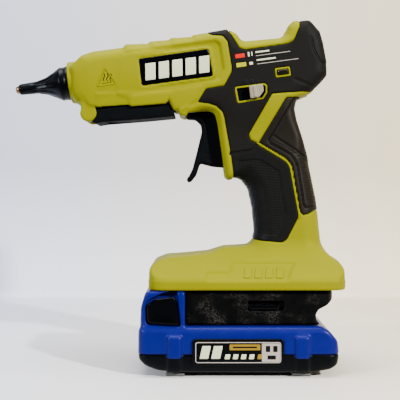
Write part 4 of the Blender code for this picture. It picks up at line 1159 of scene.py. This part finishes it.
def build_label(name, sign):
    """The battery's label: a black plate with a pale frame and plain blocks in place of lettering."""
    low, high = box(f"battery_label_{name}")
    outer = high[1] if sign > 0 else -low[1]
    x0, x1, z0, z1 = low[0], high[0], low[2] - 0.6, high[2]
    edge = x1 - LABEL_PANEL

    def plan(s, inset, radius):
        ends, heights = (x0 + inset, x1 - inset), (z0 + inset, z1 - inset)
        turns = ((0, 0), (1, 0), (1, 1), (0, 1))
        return flat([(ends[i], heights[j], radius) for i, j in turns], s.x, s.z)

    def rows(s, origin, blocks, lean=0.0):
        placed = [(origin + a, origin + b, z0 + bottom, z0 + top) for a, b, bottom, top in blocks]
        return bars(s.x, s.z, placed, lean)

    def lettering(s):
        small = [(19.6 + 4.9 * k, 22.8 + 4.9 * k, 4.2, 7.4) for k in range(4)]
        return np.minimum(rows(s, x0, LABEL_BIG_BLOCKS, 0.22), rows(s, x0, small, 0.2))

    layers = (
        ("plate", lambda s: plan(s, 0.0, 2.4), "black", "black", 0.0, 0.5),
        ("frame", lambda s: np.abs(plan(s, 2.2, 1.4)) - 0.35, "silver", "silver", 0.1, 0.3),
        ("panel", lambda s: np.maximum(plan(s, 2.5, 1.0), edge - s.x), "silver", "silver", 0.08, 0.35),
        ("stripe", lambda s: rows(s, edge, LABEL_STRIPE), "gold_print", "yellow", 0.1, 0.35),
        ("blocks", lettering, "print", "silver", 0.12, 0.35),
        ("tail", lambda s: rows(s, x0, LABEL_TAIL, 0.2), "gold_print", "yellow", 0.12, 0.35),
        ("marks", lambda s: rows(s, edge, LABEL_MARKS), "ink_and_painted_shade", "black", 0.18, 0.35),
    )
    for part, shape, shade, slot, proud, step in layers:
        top = outer + proud
        near, far = (outer - 1.4, top) if sign > 0 else (-top, -outer + 1.4)
        s = Space((x0 - 0.5, near, z0 - 0.5), (x1 + 0.5, far, z1 + 0.5), step)
        depth = 1.0 if part == "plate" else 0.9
        slab = np.abs(np.abs(s.y) - (top - depth / 2)) - depth / 2
        body = meet(shape(s) + 0 * s.y, slab + 0 * s.x, 0.15)
        nodes = [f"battery_label_{name}"] if part == "plate" else []
        piece(f"battery_label_{name}_{part}", body, s, shade, "battery", nodes)


# ---------------------------------------------------------------- what stays of the CAD, and the room

BLACK = (0.0, 0.0, 0.0)
LAMPS = (
    ("overhead", (-0.05, -0.06, 0.72), (0.0, 0.08, 0.0), (0.5, 0.3), 7.0, (1.0, 1.0, 1.0)),
    ("key_right", (0.78, -0.86, 0.62), (0.0, 0.0, 0.10), (0.05, 0.05), 31.0, (1.0, 0.99, 0.97)),
    ("fill_left", (-0.88, -0.80, 0.46), (0.0, 0.0, 0.08), (0.06, 0.06), 14.0, (0.92, 0.96, 1.0)),
)
CAMERA_PLACE = (0.0146, -0.590, 0.1157)
CAMERA_DIPS = 0.76  # degrees that the camera looks below the level
CAMERA_LENS = 81.9  # millimetres, on a sensor 36 mm wide
CAD_SHADES = {
    "melt_chamber": "aluminium", "heater_plate": "ceramic", "heater_clip": "steel", "inlet_seal": "silicone",
    "stick_trough": "dark", "control_board": "board", "status_led": "lamp", "switch_body": "black",
    "terminal_block": "black", "power_lead": "red", "heater_lead": "red", "trigger_pin": "steel",
    "tray_pin": "steel", "feed_carriage": "nylon", "stick_gripper": "steel", "battery_board": "board",
}
CAD_PREFIXES = (
    ("housing_screw", "steel"), ("tool_contact", "brass"), ("adapter_contact", "brass"),
    ("stem_contact", "brass"), ("cell", "cell"),
)


def build_spring():
    """The return spring: a copy of the CAD coil in steel, put in place of the CAD node."""
    coil = frame["nodes"]["return_spring"]
    mesh = coil.data.copy()
    mesh.transform(coil.matrix_world)
    mesh.materials.clear()
    mesh.materials.append(SHADES["steel"])
    spring = bpy.data.objects.new("return_spring_coil", mesh)
    bpy.context.scene.collection.objects.link(spring)
    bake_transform(spring)
    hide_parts("return_spring")


def dress_cad():
    """Gives each CAD node that still shows its finish and a small bevel."""
    for name, node in frame["nodes"].items():
        if node.hide_render:
            continue
        shade = CAD_SHADES.get(name) or next(s for start, s in CAD_PREFIXES if name.startswith(start))
        node.data.materials.clear()
        node.data.materials.append(SHADES[shade])
        bevel = node.modifiers.new("edge", "BEVEL")
        bevel.width = 0.2 * MM
        bevel.segments = 2
        bevel.limit_method = "ANGLE"
        bevel.angle_limit = math.radians(40)


def sweep(name, shade):
    """A pale floor that turns up into a wall a little way behind the tool."""
    half, front, back, radius, top = 1.5, -0.55, 0.365, 0.006, 1.2
    side_view = [(front, 0.0), (back, 0.0)]
    for a in np.linspace(0, math.pi / 2, 16)[1:]:
        side_view.append((back + radius * math.sin(a), radius * (1 - math.cos(a))))
    side_view.append((back + radius, top))
    verts = [(x, y, z) for y, z in side_view for x in (-half, half)]
    faces = [(2 * k, 2 * k + 1, 2 * k + 3, 2 * k + 2) for k in range(len(side_view) - 1)]
    mesh = bpy.data.meshes.new(name)
    mesh.from_pydata(verts, [], faces)
    mesh.polygons.foreach_set("use_smooth", [True] * len(faces))
    obj = bpy.data.objects.new(name, mesh)
    bpy.context.scene.collection.objects.link(obj)
    obj.data.materials.append(shade)


def lamp(name, place, aim, size, watts, colour):
    """A soft rectangular lamp, in metres and watts, turned towards a point."""
    data = bpy.data.lights.new(name, "AREA")
    data.shape = "RECTANGLE"
    data.size, data.size_y = size
    data.energy = watts
    data.color = colour
    obj = bpy.data.objects.new(name, data)
    obj.location = place
    obj.rotation_mode = "QUATERNION"
    obj.rotation_quaternion = (Vector(aim) - Vector(place)).to_track_quat("-Z", "Y")
    bpy.context.scene.collection.objects.link(obj)


def paper_with_painted_light():
    """Pale paper with painted light: a cool tint painted on the left, a warm tint painted on the right, and
    painted shade that darkens the wall upwards.

    In front of the tool it is nearly black to bounced light, so it doesn't light the tool from below.
    """
    made = finish("paper_with_painted_light", (0.8, 0.8, 0.8), 0.85, grain=0.1, size=1.0, tone=0.01, cloud=400.0, shine=0.1)
    tree = made.node_tree
    shader = tree.nodes["Principled BSDF"]
    where = tree.nodes.new("ShaderNodeTexCoord")
    parts = tree.nodes.new("ShaderNodeSeparateXYZ")
    tree.links.new(where.outputs["Object"], parts.inputs["Vector"])
    # Painted light: the colour runs from a cool tint on the left to a warm tint on the right.
    across = spread(tree, parts.outputs["X"], 0, 1, -0.22, 0.22)
    # Painted shade: the wall grows darker upwards from just above the floor.
    up = spread(tree, parts.outputs["Z"], 0, 1, 0.03, 0.14)
    behind = spread(tree, parts.outputs["Y"], 0.1, 1.0, -0.14, 0.02)
    # Painted light tints near the floor and the wall's base, and darker painted shade tints higher up the
    # wall.
    bright = two_tone(tree, across, (0.77, 0.82, 0.96), (0.90, 0.79, 0.60))
    dim = two_tone(tree, across, (0.50, 0.535, 0.66), (0.70, 0.61, 0.43))
    seen = tree.nodes.new("ShaderNodeLightPath")
    shown = combine(tree, "MAXIMUM", seen.outputs["Is Camera Ray"], behind)
    colour = two_tone(tree, shown, BLACK, two_tone(tree, up, bright, dim))
    tree.links.new(colour, shader.inputs["Base Color"])
    clear_from_behind(tree, shader)
    return made


def clear_from_behind(tree, shader):
    """Lets the back of a surface be seen through, so that the wall hides nothing from behind it."""
    face = tree.nodes.new("ShaderNodeNewGeometry")
    clear = tree.nodes.new("ShaderNodeBsdfTransparent")
    mix = tree.nodes.new("ShaderNodeMixShader")
    tree.links.new(face.outputs["Backfacing"], mix.inputs["Fac"])
    tree.links.new(shader.outputs["BSDF"], mix.inputs[1])
    tree.links.new(clear.outputs["BSDF"], mix.inputs[2])
    tree.links.new(mix.outputs["Shader"], tree.nodes["Material Output"].inputs["Surface"])


def build_world():
    """Dim light all round, and a pale background where nothing else is seen."""
    world = bpy.data.worlds.new("room")
    world.use_nodes = True
    tree = world.node_tree
    dim = tree.nodes["Background"]
    dim.inputs["Color"].default_value = (0.8, 0.9, 1.0, 1)
    dim.inputs["Strength"].default_value = 0.12
    pale = tree.nodes.new("ShaderNodeBackground")
    pale.inputs["Color"].default_value = (0.95, 0.97, 1.0, 1)
    pale.inputs["Strength"].default_value = 1.5
    seen = tree.nodes.new("ShaderNodeLightPath")
    mix = tree.nodes.new("ShaderNodeMixShader")
    tree.links.new(seen.outputs["Is Camera Ray"], mix.inputs["Fac"])
    tree.links.new(dim.outputs["Background"], mix.inputs[1])
    tree.links.new(pale.outputs["Background"], mix.inputs[2])
    tree.links.new(mix.outputs["Shader"], tree.nodes["World Output"].inputs["Surface"])
    bpy.context.scene.world = world


def build_room():
    sweep("floor", paper_with_painted_light())
    build_world()
    for settings in LAMPS:
        lamp(*settings)


def build_camera():
    data = bpy.data.cameras.new("camera")
    data.sensor_width = 36.0
    data.lens = CAMERA_LENS
    data.clip_start, data.clip_end = 0.01, 20.0
    obj = bpy.data.objects.new("camera", data)
    obj.location = CAMERA_PLACE
    obj.rotation_euler = (math.radians(90 - CAMERA_DIPS), 0, 0)
    bpy.context.scene.collection.objects.link(obj)
    bpy.context.scene.camera = obj


build_housing()
build_covers()
build_side_details()
build_nozzle_sleeve()
build_nozzle_tip()
build_trigger()
build_tray()
build_switch()
build_switch_surround()
build_adapter()
build_battery()
build_spring()
dress_cad()
build_room()
build_camera()
